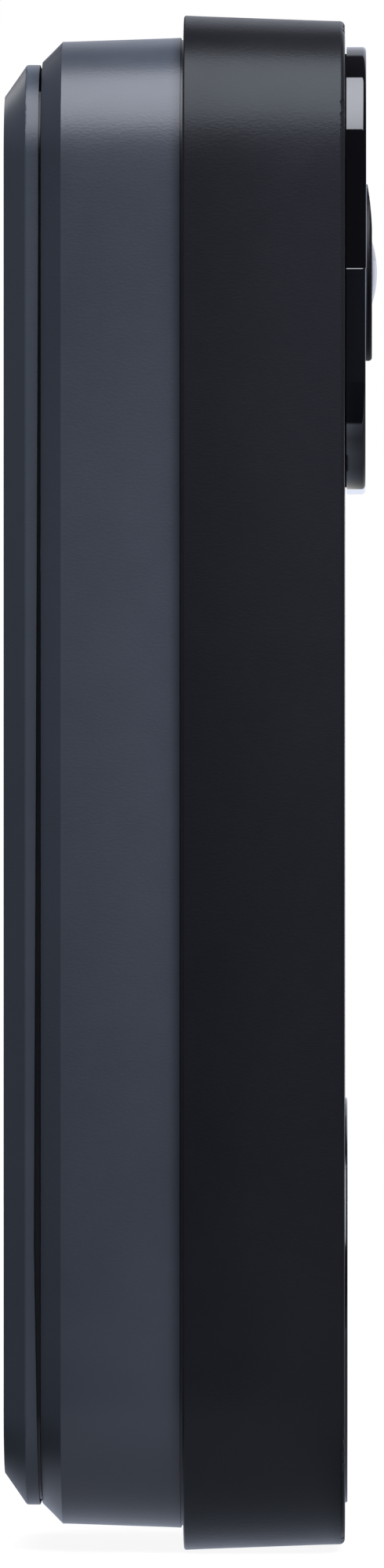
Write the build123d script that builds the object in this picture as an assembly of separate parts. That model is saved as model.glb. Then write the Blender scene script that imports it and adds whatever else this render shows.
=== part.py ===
from build123d import *
import math
import os

# A battery video doorbell on its wall plate, as separate parts in one frame.
# The origin is the centre of the plate's wall face, +Z is up and the front looks along -Y.
# A place is x, z and a depth, which is the distance in front of the wall, so y = -depth.
# Lengths are millimetres and angles are degrees. The case is sized from what it holds.

# Cells and their bays
CELL_DIAMETER = 14.5
CELL_LENGTH = 50.5
CELL_NUB_DIAMETER = 5.5
CELL_NUB_LENGTH = 1.0
CELL_EDGE = 0.6
CELL_CLEARANCE = 0.15
CELL_GAP = 0.9
CELL_COVER = 1.2
UPPER_CELL_OFFSET = 8.4
SPRING_ROOM = 2.0
CONTACT_ROOM = 0.5
BAY_RIB = 1.2
BAY_FLOOR = 1.15

# Contacts of the cells
CONTACT_SHEET = 0.3
CONTACT_WIDTH = 8.0
CONTACT_SPAN = 9.0
CONTACT_TAIL = 3.0
SPRING_RISE = 1.55

# Case walls
WALL = 1.6
BACK_WALL = 1.6
FRONT_WALL = 1.7
RIM_STEP = 1.875
REAR_DRAFT = 1.9
SHELL_DRAFT = 2.1
CORNER_RADIUS = 12.0
REAR_CHAMFER = 1.72
REAR_DEPTH = 11.98
SPIGOT_LENGTH = 2.6
SIDE_ROOM = 2.585
HOOK_ROOM = 5.77
LATCH_ROOM = 7.0
FRONT_ROOM = 4.64
FRONT_EDGE_RADIUS = 0.45
RIM_EDGE_RADIUS = 0.2
SEAM_WIDTH = 0.25
SEAM_DEPTH = 0.2
FIT = 0.1
SEAL_OFFSET = 0.8
SEAL_WIDTH = 1.1
SEAL_DEPTH = 0.8
SEAL_PLAY = 0.02

# Wall plate
PLATE_THICKNESS = 2.98
PLATE_GAP = 0.22
PLATE_BEVEL_DEPTH = 1.88
PLATE_BEVEL_HEIGHT = 2.69
PLATE_EDGE_RADIUS = 0.3
PLATE_SETBACK = 0.06
PLATE_DROP = 0.18
HOLLOW_DEPTH = 0.36
HOLLOW_TOP = 47.0
HOLLOW_MIDDLE = -39.0
HOLLOW_BOTTOM = -60.5
REST_INSET = 0.5
REST_WIDTH = 1.0
REST_PLAY = 0.05
RECESS_DEPTH = 1.2
RECESS_MARGIN = 3.0
RECESS_RADIUS = 2.5
CROSS_BAND = 10.0
BOSS_MARGIN = 2.5
WALL_SCREW_SPACING = 90.0
WALL_SCREW_WIDTH = 4.4
WALL_SCREW_SLOT = 9.0
SINK_DEPTH = 1.5
SINK_FLARE = 1.6
WIRE_HOLE_WIDTH = 13.0
WIRE_HOLE_HEIGHT = 18.0
WIRE_HOLE_RADIUS = 3.0
WIRE_HOLE_RISE = 25.8

# Hook at the top of the plate and catch at its foot
HOOK_WIDTH = 12.0
HOOK_DROP = 1.4
HOOK_ARM = 1.5
HOOK_LIP = 1.0
HOOK_LIP_THICKNESS = 1.35
HOOK_BEVEL = 0.5
HOOK_CLEARANCE = 0.4
HOOK_PLAY = 0.25
HOOK_SWING = 0.7
CATCH_WIDTH = 7.0
CATCH_RISE = 3.4
CATCH_THICKNESS = 1.6
CATCH_REACH = 4.7
CATCH_PLAY = 0.6
CATCH_NOTCH_DEPTH = 1.0
CATCH_NOTCH_START = 2.0
CATCH_NOTCH_LENGTH = 1.7

# Spring latch above the catch, lifted by a pin through the bottom of the case
LATCH_WIDTH = 6.4
LATCH_LEAF = 0.9
LATCH_LIFT = 0.9
LATCH_ENGAGE = 0.8
LATCH_NOSE = 1.2
LATCH_NOSE_PLAY = 0.25
LATCH_NOSE_RAMP = 0.6
LATCH_REACH = 9.7
LATCH_ROOT = 1.8
LATCH_ROOT_PLAY = 0.3
LATCH_WALL = 2.4
RELEASE_HOLE_DIAMETER = 2.6
RELEASE_HOLE_SETBACK = 3.9

# Boards
BOARD_THICKNESS = 1.0
BOARD_CORNER = 2.0
MAIN_BOARD_WIDTH = 32.8
MAIN_BOARD_BOTTOM_MARGIN = 7.18
MAIN_BOARD_TOP_RISE = 19.8
CAMERA_BOARD_WIDTH = 22.0
CAMERA_BOARD_ABOVE = 10.65
CAMERA_BOARD_BELOW = 16.75
POST_HEIGHT = 1.25
POST_DIAMETER = 4.4
POST_MARGIN_X = 3.2
POST_MARGIN_Z = 5.6
CAMERA_POST_SIDE = 2.3
CAMERA_POST_LOW = 2.3
CAMERA_POST_HIGH = 4.8
BOARD_SCREW_HEAD = 3.0
BOARD_SCREW_HEAD_HEIGHT = 0.9
BOARD_SCREW_SHANK = 1.5
BOARD_SCREW_DEPTH = 1.9
SHIELD_WIDTH = 22.0
SHIELD_HEIGHT = 26.0
SHIELD_THICKNESS = 2.2
SHIELD_DROP = 15.5
SHIELD_CORNER = 1.0
CHIP_SIZE = 4.6
CHIP_THICKNESS = 0.9
CHIP_PITCH = 6.4
CHIP_COUNT = 3
CHIP_DROP = 9.5
FLEX_WIDTH = 8.0
FLEX_THICKNESS = 0.2
FLEX_BOW = 1.4
CONNECTOR_WIDTH = 9.4
CONNECTOR_HEIGHT = 2.8
CONNECTOR_THICKNESS = 1.2
CONNECTOR_MARGIN = 0.6

# Screws that hold the two halves of the case together
CASE_SCREW_INSET_X = 4.68
CASE_SCREW_INSET_Z = 4.18
CASE_SCREW_HEAD = 3.5
CASE_SCREW_HEAD_HEIGHT = 1.5
CASE_SCREW_SHANK = 2.0
CASE_SCREW_SEAT = 9.75
CASE_SCREW_BITE = 3.8
CASE_BOSS_WALL = 1.05
SHELL_BOSS_DIAMETER = 4.6
SHELL_BOSS_GAP = 0.1
LOW_BOSS_LENGTH = 5.2
GUSSET_THICKNESS = 1.2
SCREW_CLEARANCE = 0.2
PILOT_CLEARANCE = 0.05

# Camera window, lens and what sits behind them
PANEL_SIZE = 37.5
PANEL_RADIUS = 9.5
PANEL_PROUD = 1.82
PANEL_TOP_MARGIN = 2.65
PANEL_EDGE_RADIUS = 0.35
SPLIT_DROP = 0.34
SPLIT_BEVEL = 0.1
SPLIT_DEPTH = 0.06
SPLIT_GAP = 0.05
PANEL_STEP = 0.06
TAPE_THICKNESS = 0.15
TAPE_INSET = 0.6
TAPE_WIDTH = 3.0
OPENING_SIDE_MARGIN = 3.65
OPENING_TOP_MARGIN = 5.4
OPENING_BOTTOM_MARGIN = 1.3
OPENING_RADIUS = 3.0
LOCATOR_HEIGHT = 1.2
LOCATOR_WALL = 1.0
LENS_RING_DIAMETER = 15.1
LENS_RING_PROUD = 0.49
LENS_RING_EDGE = 0.3
LENS_RING_SPIGOT = 13.0
LENS_RING_DEPTH = 3.6
LENS_RING_LIP = 0.35
BROW_START = 3.5
BROW_DROP = 0.4
BROW_BULGE = 0.06
DOME_DIAMETER = 5.5
DOME_PROUD = 0.435
GLASS_DIAMETER = 6.4
GLASS_DEPTH = 1.3
BARREL_DIAMETER = 11.5
BARREL_BORE = 7.2
BARREL_BACK_GAP = 1.6
BARREL_FRONT_GAP = 0.2
ELEMENT_THICKNESS = 1.3
ELEMENT_BULGE = 0.45
ELEMENT_OFFSETS = (0.8, 2.9)
HOLDER_SIZE = 14.0
HOLDER_HEIGHT = 4.2
HOLDER_ROOM = 9.0
SENSOR_WIDTH = 6.4
SENSOR_HEIGHT = 5.6
SENSOR_THICKNESS = 0.9
IR_LED_SIZE = 3.0
IR_LED_HEIGHT = 1.8
IR_LED_OFFSET = 8.9
MIC_OFFSET_X = 5.5
MIC_CLEARANCE = 0.25
MIC_HOLE_DIAMETER = 1.0
MIC_SIZE = 2.8
MIC_HEIGHT = 1.0
BOOT_DIAMETER = 3.0
BOOT_BORE = 1.2

# Call button and its light ring
RING_DIAMETER = 34.6
RING_PROUD = 0.21
RING_WIDTH = 2.3
RING_EDGE = 0.1
RING_FLANGE = 0.6
RING_FLANGE_THICKNESS = 0.95
BUTTON_MARGIN = 3.5
BUTTON_PLAY = 0.15
BUTTON_PROUD = 0.12
BUTTON_WALL = 1.3
BUTTON_DISH = 0.35
BUTTON_LAND = 1.2
BUTTON_EDGE = 0.2
BUTTON_FLANGE = 0.75
BUTTON_FLANGE_THICKNESS = 1.2
BUTTON_FLANGE_PLAY = 0.3
BUTTON_STEM_DIAMETER = 5.0
BUTTON_TRAVEL = 0.8
SWITCH_SIZE = 3.9
SWITCH_HEIGHT = 1.2
SWITCH_GAP = 0.2
MEMBRANE_CONE = 3.2
MEMBRANE_FOOT = 2.0
MEMBRANE_SHEET = 0.6
MEMBRANE_PLAY = 0.05
RING_LED_SIZE = 1.6
RING_LED_HEIGHT = 0.7
RING_LED_ANGLES = (30, 90, 150, 210, 330)

# Speaker at the bottom
SPEAKER_WIDTH = 18.0
SPEAKER_DEPTH = 5.3
SPEAKER_HEIGHT = 3.5
SPEAKER_CORNER = 1.2
SPEAKER_GAP = 0.3
CONE_MARGIN = 1.3
CONE_DEPTH = 0.8
GASKET_THICKNESS = 0.35
GASKET_WIDTH = 1.0
SOUND_SLOT_COUNT = 5
SOUND_SLOT_PITCH = 2.6
SOUND_SLOT_WIDTH = 1.1
SOUND_SLOT_LENGTH = 4.2

# Wire terminals and reset button in the room beside the upper cell
TERMINAL_ROOM_DEPTH = 6.75
TERMINAL_ROOM_RADIUS = 1.5
TERMINAL_PITCH = 7.8
TERMINAL_RISE = 10.0
TERMINAL_PAD = 6.2
TERMINAL_SHEET = 0.8
TERMINAL_LEG = 2.6
TERMINAL_HEAD = 5.4
TERMINAL_HEAD_HEIGHT = 1.9
TERMINAL_HEAD_EDGE = 0.5
TERMINAL_SHANK = 2.9
TERMINAL_BITE = 5.0
TERMINAL_BOSS_WALL = 1.4
TERMINAL_SLOT_WIDTH = 0.9
TERMINAL_SLOT_DEPTH = 0.9
RESET_DROP = 5.7
RESET_DIAMETER = 3.0
RESET_PROUD = 1.2
RESET_PLAY = 0.15
RESET_GUIDE_WALL = 1.1
RESET_GUIDE_LENGTH = 8.6
RESET_COLLAR = 0.8
RESET_COLLAR_THICKNESS = 0.6
RESET_COLLAR_GAP = 0.3
RESET_TRAVEL = 0.4
RESET_SWITCH_GAP = 0.05
RESET_SWITCH_SIZE = 4.2
RESET_SWITCH_HEIGHT = 1.05

# Insets from the case's largest outline, which is the rim of the front shell
REAR_SLOPE = math.tan(math.radians(REAR_DRAFT))
SHELL_SLOPE = math.tan(math.radians(SHELL_DRAFT))
CHAMFER_INSET = RIM_STEP + (REAR_DEPTH - REAR_CHAMFER) * REAR_SLOPE
REAR_FACE_INSET = CHAMFER_INSET + REAR_CHAMFER
PLATE_INSET = REAR_FACE_INSET + PLATE_SETBACK
CORE_INSET = CHAMFER_INSET + WALL
CAVITY_INSET = RIM_STEP - FIT

# Height and width, built up from the cells
CELL_RADIUS = CELL_DIAMETER / 2
POCKET_RADIUS = CELL_RADIUS + CELL_CLEARANCE
CELL_PITCH = CELL_DIAMETER + CELL_GAP
BAY_LENGTH = CELL_LENGTH + SPRING_ROOM + CONTACT_ROOM
BAY_HALF_WIDTH = CELL_PITCH / 2 + POCKET_RADIUS
CORE_HEIGHT = LATCH_ROOM + 2 * BAY_LENGTH + 3 * BAY_RIB + HOOK_ROOM
CORE_WIDTH = 2 * (BAY_HALF_WIDTH + SIDE_ROOM)
HEIGHT = CORE_HEIGHT + 2 * CORE_INSET
WIDTH = CORE_WIDTH + 2 * CORE_INSET
CORE_TOP = CORE_HEIGHT / 2
CORE_BOTTOM = -CORE_HEIGHT / 2
LOWER_BAY = CORE_BOTTOM + LATCH_ROOM + BAY_RIB
UPPER_BAY = LOWER_BAY + BAY_LENGTH + BAY_RIB

# Depths, built up from the wall
REAR_BACK = PLATE_THICKNESS + PLATE_GAP
BACK_INSIDE = REAR_BACK + BACK_WALL
PARTING = REAR_BACK + REAR_DEPTH
SPIGOT_END = PARTING + SPIGOT_LENGTH
CELL_AXIS = REAR_BACK + CELL_COVER + CELL_RADIUS
BAY_FRONT = CELL_AXIS + POCKET_RADIUS + BAY_FLOOR
BOARD_BACK = BAY_FRONT + POST_HEIGHT
BOARD_FRONT = BOARD_BACK + BOARD_THICKNESS
SHELL_INSIDE = BOARD_FRONT + FRONT_ROOM
FACE = SHELL_INSIDE + FRONT_WALL
PANEL_BACK = FACE + TAPE_THICKNESS
PANEL_FRONT = FACE + PANEL_PROUD
LENS_RING_FRONT = PANEL_FRONT + LENS_RING_PROUD
LENS_RING_SEAT = PANEL_FRONT - PANEL_STEP
TERMINAL_FLOOR = REAR_BACK + TERMINAL_ROOM_DEPTH
TERMINAL_FLOOR_FRONT = TERMINAL_FLOOR + BAY_RIB

# Hole behind the camera window, set from the tape round it
TAPE_INNER = PANEL_SIZE / 2 - TAPE_INSET - TAPE_WIDTH
OPENING_WIDTH = 2 * (TAPE_INNER - OPENING_SIDE_MARGIN)
OPENING_ABOVE = TAPE_INNER - OPENING_TOP_MARGIN
OPENING_BELOW = TAPE_INNER - OPENING_BOTTOM_MARGIN
MIC_DROP = OPENING_BELOW - FIT - LOCATOR_WALL - MIC_CLEARANCE - BOOT_DIAMETER / 2

# Places on the case
PANEL_Z = HEIGHT / 2 - PANEL_TOP_MARGIN - PANEL_SIZE / 2
RING_RADIUS = RING_DIAMETER / 2
BUTTON_Z = RING_RADIUS + BUTTON_MARGIN - HEIGHT / 2
CASE_SCREW_X = CORE_WIDTH / 2 - CASE_SCREW_INSET_X
CASE_SCREW_Z = CORE_HEIGHT / 2 - CASE_SCREW_INSET_Z
MAIN_BOARD_BOTTOM = CORE_BOTTOM + MAIN_BOARD_BOTTOM_MARGIN
MAIN_BOARD_TOP = UPPER_BAY + MAIN_BOARD_TOP_RISE
CAMERA_BOARD_BOTTOM = PANEL_Z - CAMERA_BOARD_BELOW
CAMERA_BOARD_TOP = PANEL_Z + CAMERA_BOARD_ABOVE
ROOM_RIGHT = UPPER_CELL_OFFSET - POCKET_RADIUS - BAY_RIB
ROOM_LEFT = -UPPER_CELL_OFFSET - POCKET_RADIUS
ROOM_X = (ROOM_LEFT + ROOM_RIGHT) / 2
TERMINAL_Z = UPPER_BAY + TERMINAL_RISE
WIRE_HOLE_Z = UPPER_BAY + WIRE_HOLE_RISE
RESET_Z = UPPER_BAY + BAY_LENGTH - RESET_DROP
MIC_Z = PANEL_Z - MIC_DROP
HOOK_TOP = CORE_TOP - HOOK_DROP
CATCH_TOP = CORE_BOTTOM + CATCH_RISE
LATCH_UNDER = CATCH_TOP + LATCH_LIFT
LATCH_TIP = PLATE_THICKNESS + CATCH_NOTCH_START + LATCH_NOSE_PLAY
LATCH_PIVOT = LATCH_TIP + LATCH_REACH - LATCH_ROOT / 2
SPEAKER_START = SPIGOT_END + SPEAKER_GAP


# Helpers for outlines and bodies
def at(depth):
    """Plane that faces the front at a depth, with x along X and y along Z."""
    return Plane.XZ.offset(depth)


def slab(outline, start, end):
    """Prism of a front-view outline between two depths."""
    return extrude(at(start) * outline, end - start)


def drafted(back, start, front, end):
    """Ruled body between two front-view outlines of the same kind."""
    return loft([(at(start) * back).face(), (at(end) * front).face()], ruled=True)


def upright(outline, bottom, top):
    """Prism of a plan outline, drawn in x and -depth, between two heights."""
    return extrude(Plane.XY.offset(bottom) * outline, top - bottom)


def sideways(outline, width, x=0.0):
    """Prism of a side-view outline, drawn in depth and z, centred on x."""
    plane = Plane(origin=(x, 0, 0), x_dir=(0, -1, 0), z_dir=(-1, 0, 0))
    return extrude(plane * outline, width / 2, both=True)


def turned(outline, x=0.0, z=0.0):
    """Body of revolution about a front-to-back line, drawn in radius and depth."""
    plane = Plane(origin=(x, 0, z), x_dir=(1, 0, 0), z_dir=(0, 0, -1))
    return revolve(plane * outline, Axis((x, 0, z), (0, -1, 0)))


def polygon(*points):
    """Closed flat outline through points."""
    return make_face(Polyline(*points, close=True))


def cap_arc(radius, edge, rise):
    """Arc in radius and depth from the rim of a round cap to its middle; a dish has a negative rise."""
    sphere = (radius * radius + rise * rise) / (2 * abs(rise))
    middle = math.sqrt(sphere * sphere - radius * radius / 4) - sphere + abs(rise)
    half_way = (radius / 2, edge + math.copysign(middle, rise))
    return ThreePointArc((radius, edge), half_way, (0, edge + rise))


def disc(diameter, x=0.0, z=0.0):
    """Circle in the front view."""
    return Pos(x, z) * Circle(diameter / 2)


def block(left, right, bottom, top):
    """Rectangle in the front view, given by its sides."""
    return Pos((left + right) / 2, (bottom + top) / 2) * Rectangle(right - left, top - bottom)


def case_outline(inset):
    """Front-view outline of the case, drawn in from the rim of the front shell."""
    return RectangleRounded(WIDTH - 2 * inset, HEIGHT - 2 * inset, CORNER_RADIUS - inset)


def slot_outline(length, width, z):
    """Upright slot in the front view."""
    return Pos(0, z) * Rot(0, 0, 90) * SlotOverall(length, width)


def drafted_inset(inset, depth):
    """Inset of a wall that leans inward from the parting line to a depth."""
    return inset + (depth - PARTING) * SHELL_SLOPE


def group(solids):
    """Separate like pieces that share one node."""
    return Compound(children=list(solids))


# Places of what repeats
def case_screw_places():
    """Centres of the four case screws, the upper pair first."""
    return [(x, z) for z in (CASE_SCREW_Z, -CASE_SCREW_Z) for x in (-CASE_SCREW_X, CASE_SCREW_X)]


def main_post_places():
    """Centres of the main board's posts."""
    x = MAIN_BOARD_WIDTH / 2 - POST_MARGIN_X
    heights = (MAIN_BOARD_BOTTOM + POST_MARGIN_Z, MAIN_BOARD_TOP - POST_MARGIN_Z)
    return [(side * x, z) for z in heights for side in (-1, 1)]


def camera_post_places():
    """Centres of the camera board's posts."""
    x = CAMERA_BOARD_WIDTH / 2 - CAMERA_POST_SIDE
    low = CAMERA_BOARD_BOTTOM + CAMERA_POST_LOW
    high = CAMERA_BOARD_TOP - CAMERA_POST_HIGH
    return [(x, low), (x, high), (-x, low)]


def terminal_places():
    """Centres of the two wire terminals along x."""
    return [ROOM_X - TERMINAL_PITCH / 2, ROOM_X + TERMINAL_PITCH / 2]


def cell_places():
    """Each cell as its x, the bottom of its bay and whether its nub points up."""
    half = CELL_PITCH / 2
    return {
        "cell_lower_left": (-half, LOWER_BAY, True),
        "cell_lower_right": (half, LOWER_BAY, False),
        "cell_upper": (UPPER_CELL_OFFSET, UPPER_BAY, True),
    }


def contact_places(springs):
    """Each contact as its x, the height of its end wall and the way it faces along z."""
    places = []
    for x, bottom, nub_up in cell_places().values():
        at_bottom = nub_up == springs
        places.append((x, bottom, 1) if at_bottom else (x, bottom + BAY_LENGTH, -1))
    return places


# Wall plate
def plate_recesses():
    """Hollows on the wall side, clear of the edge, the middle and every hole."""
    inset = PLATE_INSET + PLATE_BEVEL_HEIGHT + RECESS_MARGIN
    hollow = RectangleRounded(WIDTH - 2 * inset, HEIGHT - 2 * inset, RECESS_RADIUS)
    hollow = Pos(0, -PLATE_DROP) * hollow
    hollow -= Rectangle(WIDTH, CROSS_BAND)
    for z in (-WALL_SCREW_SPACING / 2, WALL_SCREW_SPACING / 2):
        hollow -= slot_outline(WALL_SCREW_SLOT + 2 * BOSS_MARGIN, WALL_SCREW_WIDTH + 2 * BOSS_MARGIN, z)
    hollow -= wire_hole(BOSS_MARGIN)
    return slab(hollow, 0, RECESS_DEPTH)


def wire_hole(margin):
    """Outline of the opening for the house wires, grown by a margin."""
    width = WIRE_HOLE_WIDTH + 2 * margin
    height = WIRE_HOLE_HEIGHT + 2 * margin
    return Pos(ROOM_X, WIRE_HOLE_Z) * RectangleRounded(width, height, WIRE_HOLE_RADIUS)


def hook():
    """Arm with a raised lip that the top of the case hangs on."""
    root = PLATE_THICKNESS - PLATE_EDGE_RADIUS
    lip_back = BACK_INSIDE + HOOK_CLEARANCE
    tip = lip_back + HOOK_LIP_THICKNESS
    lip_top = HOOK_TOP + HOOK_LIP
    outline = polygon(
        (root, HOOK_TOP - HOOK_ARM),
        (tip, HOOK_TOP - HOOK_ARM),
        (tip, lip_top - HOOK_BEVEL),
        (tip - HOOK_BEVEL, lip_top),
        (lip_back, lip_top),
        (lip_back, HOOK_TOP),
        (root, HOOK_TOP),
    )
    return sideways(outline, HOOK_WIDTH)


def catch():
    """Notched tongue that the latch drops into."""
    root = PLATE_THICKNESS - PLATE_EDGE_RADIUS
    tip = PLATE_THICKNESS + CATCH_REACH
    notch = PLATE_THICKNESS + CATCH_NOTCH_START
    outline = polygon(
        (root, CATCH_TOP - CATCH_THICKNESS),
        (tip, CATCH_TOP - CATCH_THICKNESS),
        (tip, CATCH_TOP),
        (notch + CATCH_NOTCH_LENGTH, CATCH_TOP),
        (notch + CATCH_NOTCH_LENGTH, CATCH_TOP - CATCH_NOTCH_DEPTH),
        (notch, CATCH_TOP - CATCH_NOTCH_DEPTH),
        (notch, CATCH_TOP),
        (root, CATCH_TOP),
    )
    return sideways(outline, CATCH_WIDTH)


def plate_outline(margin):
    """Front-view outline of the plate, drawn in by a margin."""
    return Pos(0, -PLATE_DROP) * case_outline(PLATE_INSET + margin)


def plate_hollow():
    """Shallow hollow across the plate's front, deepest low down."""
    beyond = PLATE_THICKNESS + HOLLOW_DEPTH
    outline = polygon(
        (PLATE_THICKNESS, HOLLOW_TOP),
        (PLATE_THICKNESS - HOLLOW_DEPTH, HOLLOW_MIDDLE),
        (PLATE_THICKNESS, HOLLOW_BOTTOM),
        (beyond, HOLLOW_BOTTOM),
        (beyond, HOLLOW_TOP),
    )
    return sideways(outline, WIDTH)


def rest_frame():
    """Raised frame below the hook that the back of the case rests on."""
    frame = plate_outline(REST_INSET) - plate_outline(REST_INSET + REST_WIDTH)
    frame -= block(-WIDTH / 2, WIDTH / 2, HOOK_TOP - HOOK_ARM, HEIGHT / 2)
    return slab(frame, PLATE_THICKNESS - HOLLOW_DEPTH, REAR_BACK - REST_PLAY)


def mounting_plate():
    """Plate that is screwed to the wall, bevelled towards it."""
    edge = plate_outline(0)
    bevel = drafted(plate_outline(PLATE_BEVEL_HEIGHT), 0, edge, PLATE_BEVEL_DEPTH)
    plate = bevel + slab(edge, PLATE_BEVEL_DEPTH, PLATE_THICKNESS)
    corner = plate.edges().filter_by_position(Axis.Y, -PLATE_BEVEL_DEPTH, -PLATE_BEVEL_DEPTH)
    plate = fillet(corner, PLATE_EDGE_RADIUS)
    plate -= [plate_hollow(), plate_recesses()]
    plate -= slab(wire_hole(0), 0, PLATE_THICKNESS)
    for z in (-WALL_SCREW_SPACING / 2, WALL_SCREW_SPACING / 2):
        slot = slot_outline(WALL_SCREW_SLOT, WALL_SCREW_WIDTH, z)
        flare = slot_outline(WALL_SCREW_SLOT + 2 * SINK_FLARE, WALL_SCREW_WIDTH + 2 * SINK_FLARE, z)
        plate -= slab(slot, 0, PLATE_THICKNESS)
        plate -= drafted(slot, PLATE_THICKNESS - SINK_DEPTH, flare, PLATE_THICKNESS)
    return plate + [rest_frame(), hook(), catch()]


# Rear housing
def rear_skin():
    """Drafted outside of the rear housing, cored from the front."""
    shoulder = REAR_BACK + REAR_CHAMFER
    spigot_front = case_outline(drafted_inset(RIM_STEP, SPIGOT_END))
    skin = drafted(case_outline(REAR_FACE_INSET), REAR_BACK, case_outline(CHAMFER_INSET), shoulder)
    skin += drafted(case_outline(CHAMFER_INSET), shoulder, case_outline(RIM_STEP), PARTING)
    skin += drafted(case_outline(RIM_STEP), PARTING, spigot_front, SPIGOT_END)
    skin -= slab(case_outline(CORE_INSET), BACK_INSIDE, SPIGOT_END)
    seam = case_outline(0) - case_outline(RIM_STEP + SEAM_DEPTH)
    skin -= slab(seam, PARTING - SEAM_WIDTH, PARTING)
    groove = case_outline(0) - case_outline(RIM_STEP + SEAL_DEPTH)
    return skin - slab(groove, PARTING + SEAL_OFFSET, PARTING + SEAL_OFFSET + SEAL_WIDTH)


def bay_tubs():
    """Solid walls and floors that the bays and the terminal room are cut from."""
    half = BAY_HALF_WIDTH + BAY_RIB
    right = UPPER_CELL_OFFSET + POCKET_RADIUS + BAY_RIB
    top = UPPER_BAY + BAY_LENGTH + BAY_RIB
    tubs = slab(block(-half, half, LOWER_BAY - BAY_RIB, UPPER_BAY), BACK_INSIDE, BAY_FRONT)
    tubs += slab(block(ROOM_RIGHT, right, UPPER_BAY - BAY_RIB, top), BACK_INSIDE, BAY_FRONT)
    room = block(ROOM_LEFT - BAY_RIB, ROOM_RIGHT, UPPER_BAY - BAY_RIB, top)
    return tubs + slab(room, BACK_INSIDE, TERMINAL_FLOOR_FRONT)


def cell_pockets():
    """Cradles for the three cells, open to the back, with slots for the contacts' tails."""
    pockets = []
    for x, bottom, _ in cell_places().values():
        mouth = Pos(x, -CELL_AXIS / 2) * Rectangle(2 * POCKET_RADIUS, CELL_AXIS)
        cradle = mouth + Pos(x, -CELL_AXIS) * Circle(POCKET_RADIUS)
        pockets.append(upright(cradle, bottom, bottom + BAY_LENGTH))
    web = Pos(0, -CELL_AXIS / 2) * Rectangle(CELL_PITCH, CELL_AXIS)
    pockets.append(upright(web, LOWER_BAY, LOWER_BAY + BAY_LENGTH))
    for x, wall, way in contact_places(True) + contact_places(False):
        ends = sorted((wall, wall + way * 2 * CONTACT_SHEET))
        width = CONTACT_TAIL / 2 + CONTACT_SHEET
        pockets.append(slab(block(x - width, x + width, *ends), CELL_AXIS, BAY_FRONT))
    return pockets


def rear_bosses():
    """Posts for the boards and bosses for the case screws, terminals and reset button."""
    bosses = []
    diameter = CASE_SCREW_HEAD + 2 * SCREW_CLEARANCE + 2 * CASE_BOSS_WALL
    for x, z in case_screw_places():
        bosses.append(slab(disc(diameter, x, z), BACK_INSIDE, BAY_FRONT))
    for x, z in main_post_places() + camera_post_places():
        start = TERMINAL_FLOOR if x < ROOM_RIGHT and z > UPPER_BAY else CELL_AXIS + CELL_RADIUS
        bosses.append(slab(disc(POST_DIAMETER, x, z), start, BOARD_BACK))
    for x in terminal_places():
        boss = disc(TERMINAL_SHANK + 2 * TERMINAL_BOSS_WALL, x, TERMINAL_Z)
        bosses.append(slab(boss, TERMINAL_FLOOR, TERMINAL_FLOOR + TERMINAL_BITE + BAY_RIB))
    guide = disc(RESET_DIAMETER + 2 * RESET_PLAY + 2 * RESET_GUIDE_WALL, ROOM_X, RESET_Z)
    bosses.append(slab(guide, TERMINAL_FLOOR, TERMINAL_FLOOR + RESET_GUIDE_LENGTH))
    half = LATCH_WIDTH / 2 + LATCH_ROOT_PLAY + BAY_RIB
    wall = block(-half, half, CORE_BOTTOM, LOWER_BAY - BAY_RIB)
    start = LATCH_PIVOT - LATCH_ROOT / 2
    bosses.append(slab(wall, start, start + LATCH_WALL))
    return bosses


def rear_holes():
    """Holes for screws, terminal legs and the reset button, and slots for hook, catch and latch."""
    holes = []
    for x, z in case_screw_places():
        bore = disc(CASE_SCREW_HEAD + 2 * SCREW_CLEARANCE, x, z)
        holes.append(slab(bore, REAR_BACK, REAR_BACK + CASE_SCREW_SEAT))
        holes.append(slab(disc(CASE_SCREW_SHANK + 2 * SCREW_CLEARANCE, x, z), REAR_BACK, BAY_FRONT))
    for x, z in main_post_places() + camera_post_places():
        pilot = disc(BOARD_SCREW_SHANK + 2 * PILOT_CLEARANCE, x, z)
        holes.append(slab(pilot, BOARD_BACK - BOARD_SCREW_DEPTH, BOARD_BACK))
    for x in terminal_places():
        pilot = disc(TERMINAL_SHANK + 2 * PILOT_CLEARANCE, x, TERMINAL_Z)
        holes.append(slab(pilot, TERMINAL_FLOOR, TERMINAL_FLOOR + TERMINAL_BITE))
        holes.append(slab(terminal_leg(x, FIT), TERMINAL_FLOOR, BOARD_BACK))
    holes.append(slab(disc(RESET_DIAMETER + 2 * RESET_PLAY, ROOM_X, RESET_Z), REAR_BACK, BOARD_BACK))
    hook_half = HOOK_WIDTH / 2 + HOOK_CLEARANCE
    hook_slot = block(-hook_half, hook_half, HOOK_TOP - HOOK_ARM - HOOK_SWING, HOOK_TOP + HOOK_PLAY)
    catch_half = CATCH_WIDTH / 2 + CATCH_PLAY
    catch_low = CATCH_TOP - CATCH_THICKNESS - CATCH_PLAY
    catch_slot = block(-catch_half, catch_half, catch_low, CATCH_TOP + CATCH_PLAY)
    for slot in (hook_slot, catch_slot):
        holes.append(slab(slot, REAR_BACK, BACK_INSIDE))
    root_half = LATCH_WIDTH / 2 + LATCH_ROOT_PLAY
    root_low = LATCH_UNDER - LATCH_ROOT_PLAY
    root = block(-root_half, root_half, root_low, LATCH_UNDER + LATCH_LEAF + LATCH_ROOT_PLAY)
    start = LATCH_PIVOT - LATCH_ROOT / 2
    holes.append(slab(root, start, start + LATCH_ROOT + LATCH_ROOT_PLAY))
    pin = Pos(0, RELEASE_HOLE_SETBACK - LATCH_PIVOT) * Circle(RELEASE_HOLE_DIAMETER / 2)
    holes.append(upright(pin, -HEIGHT / 2, CORE_BOTTOM))
    return holes


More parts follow.
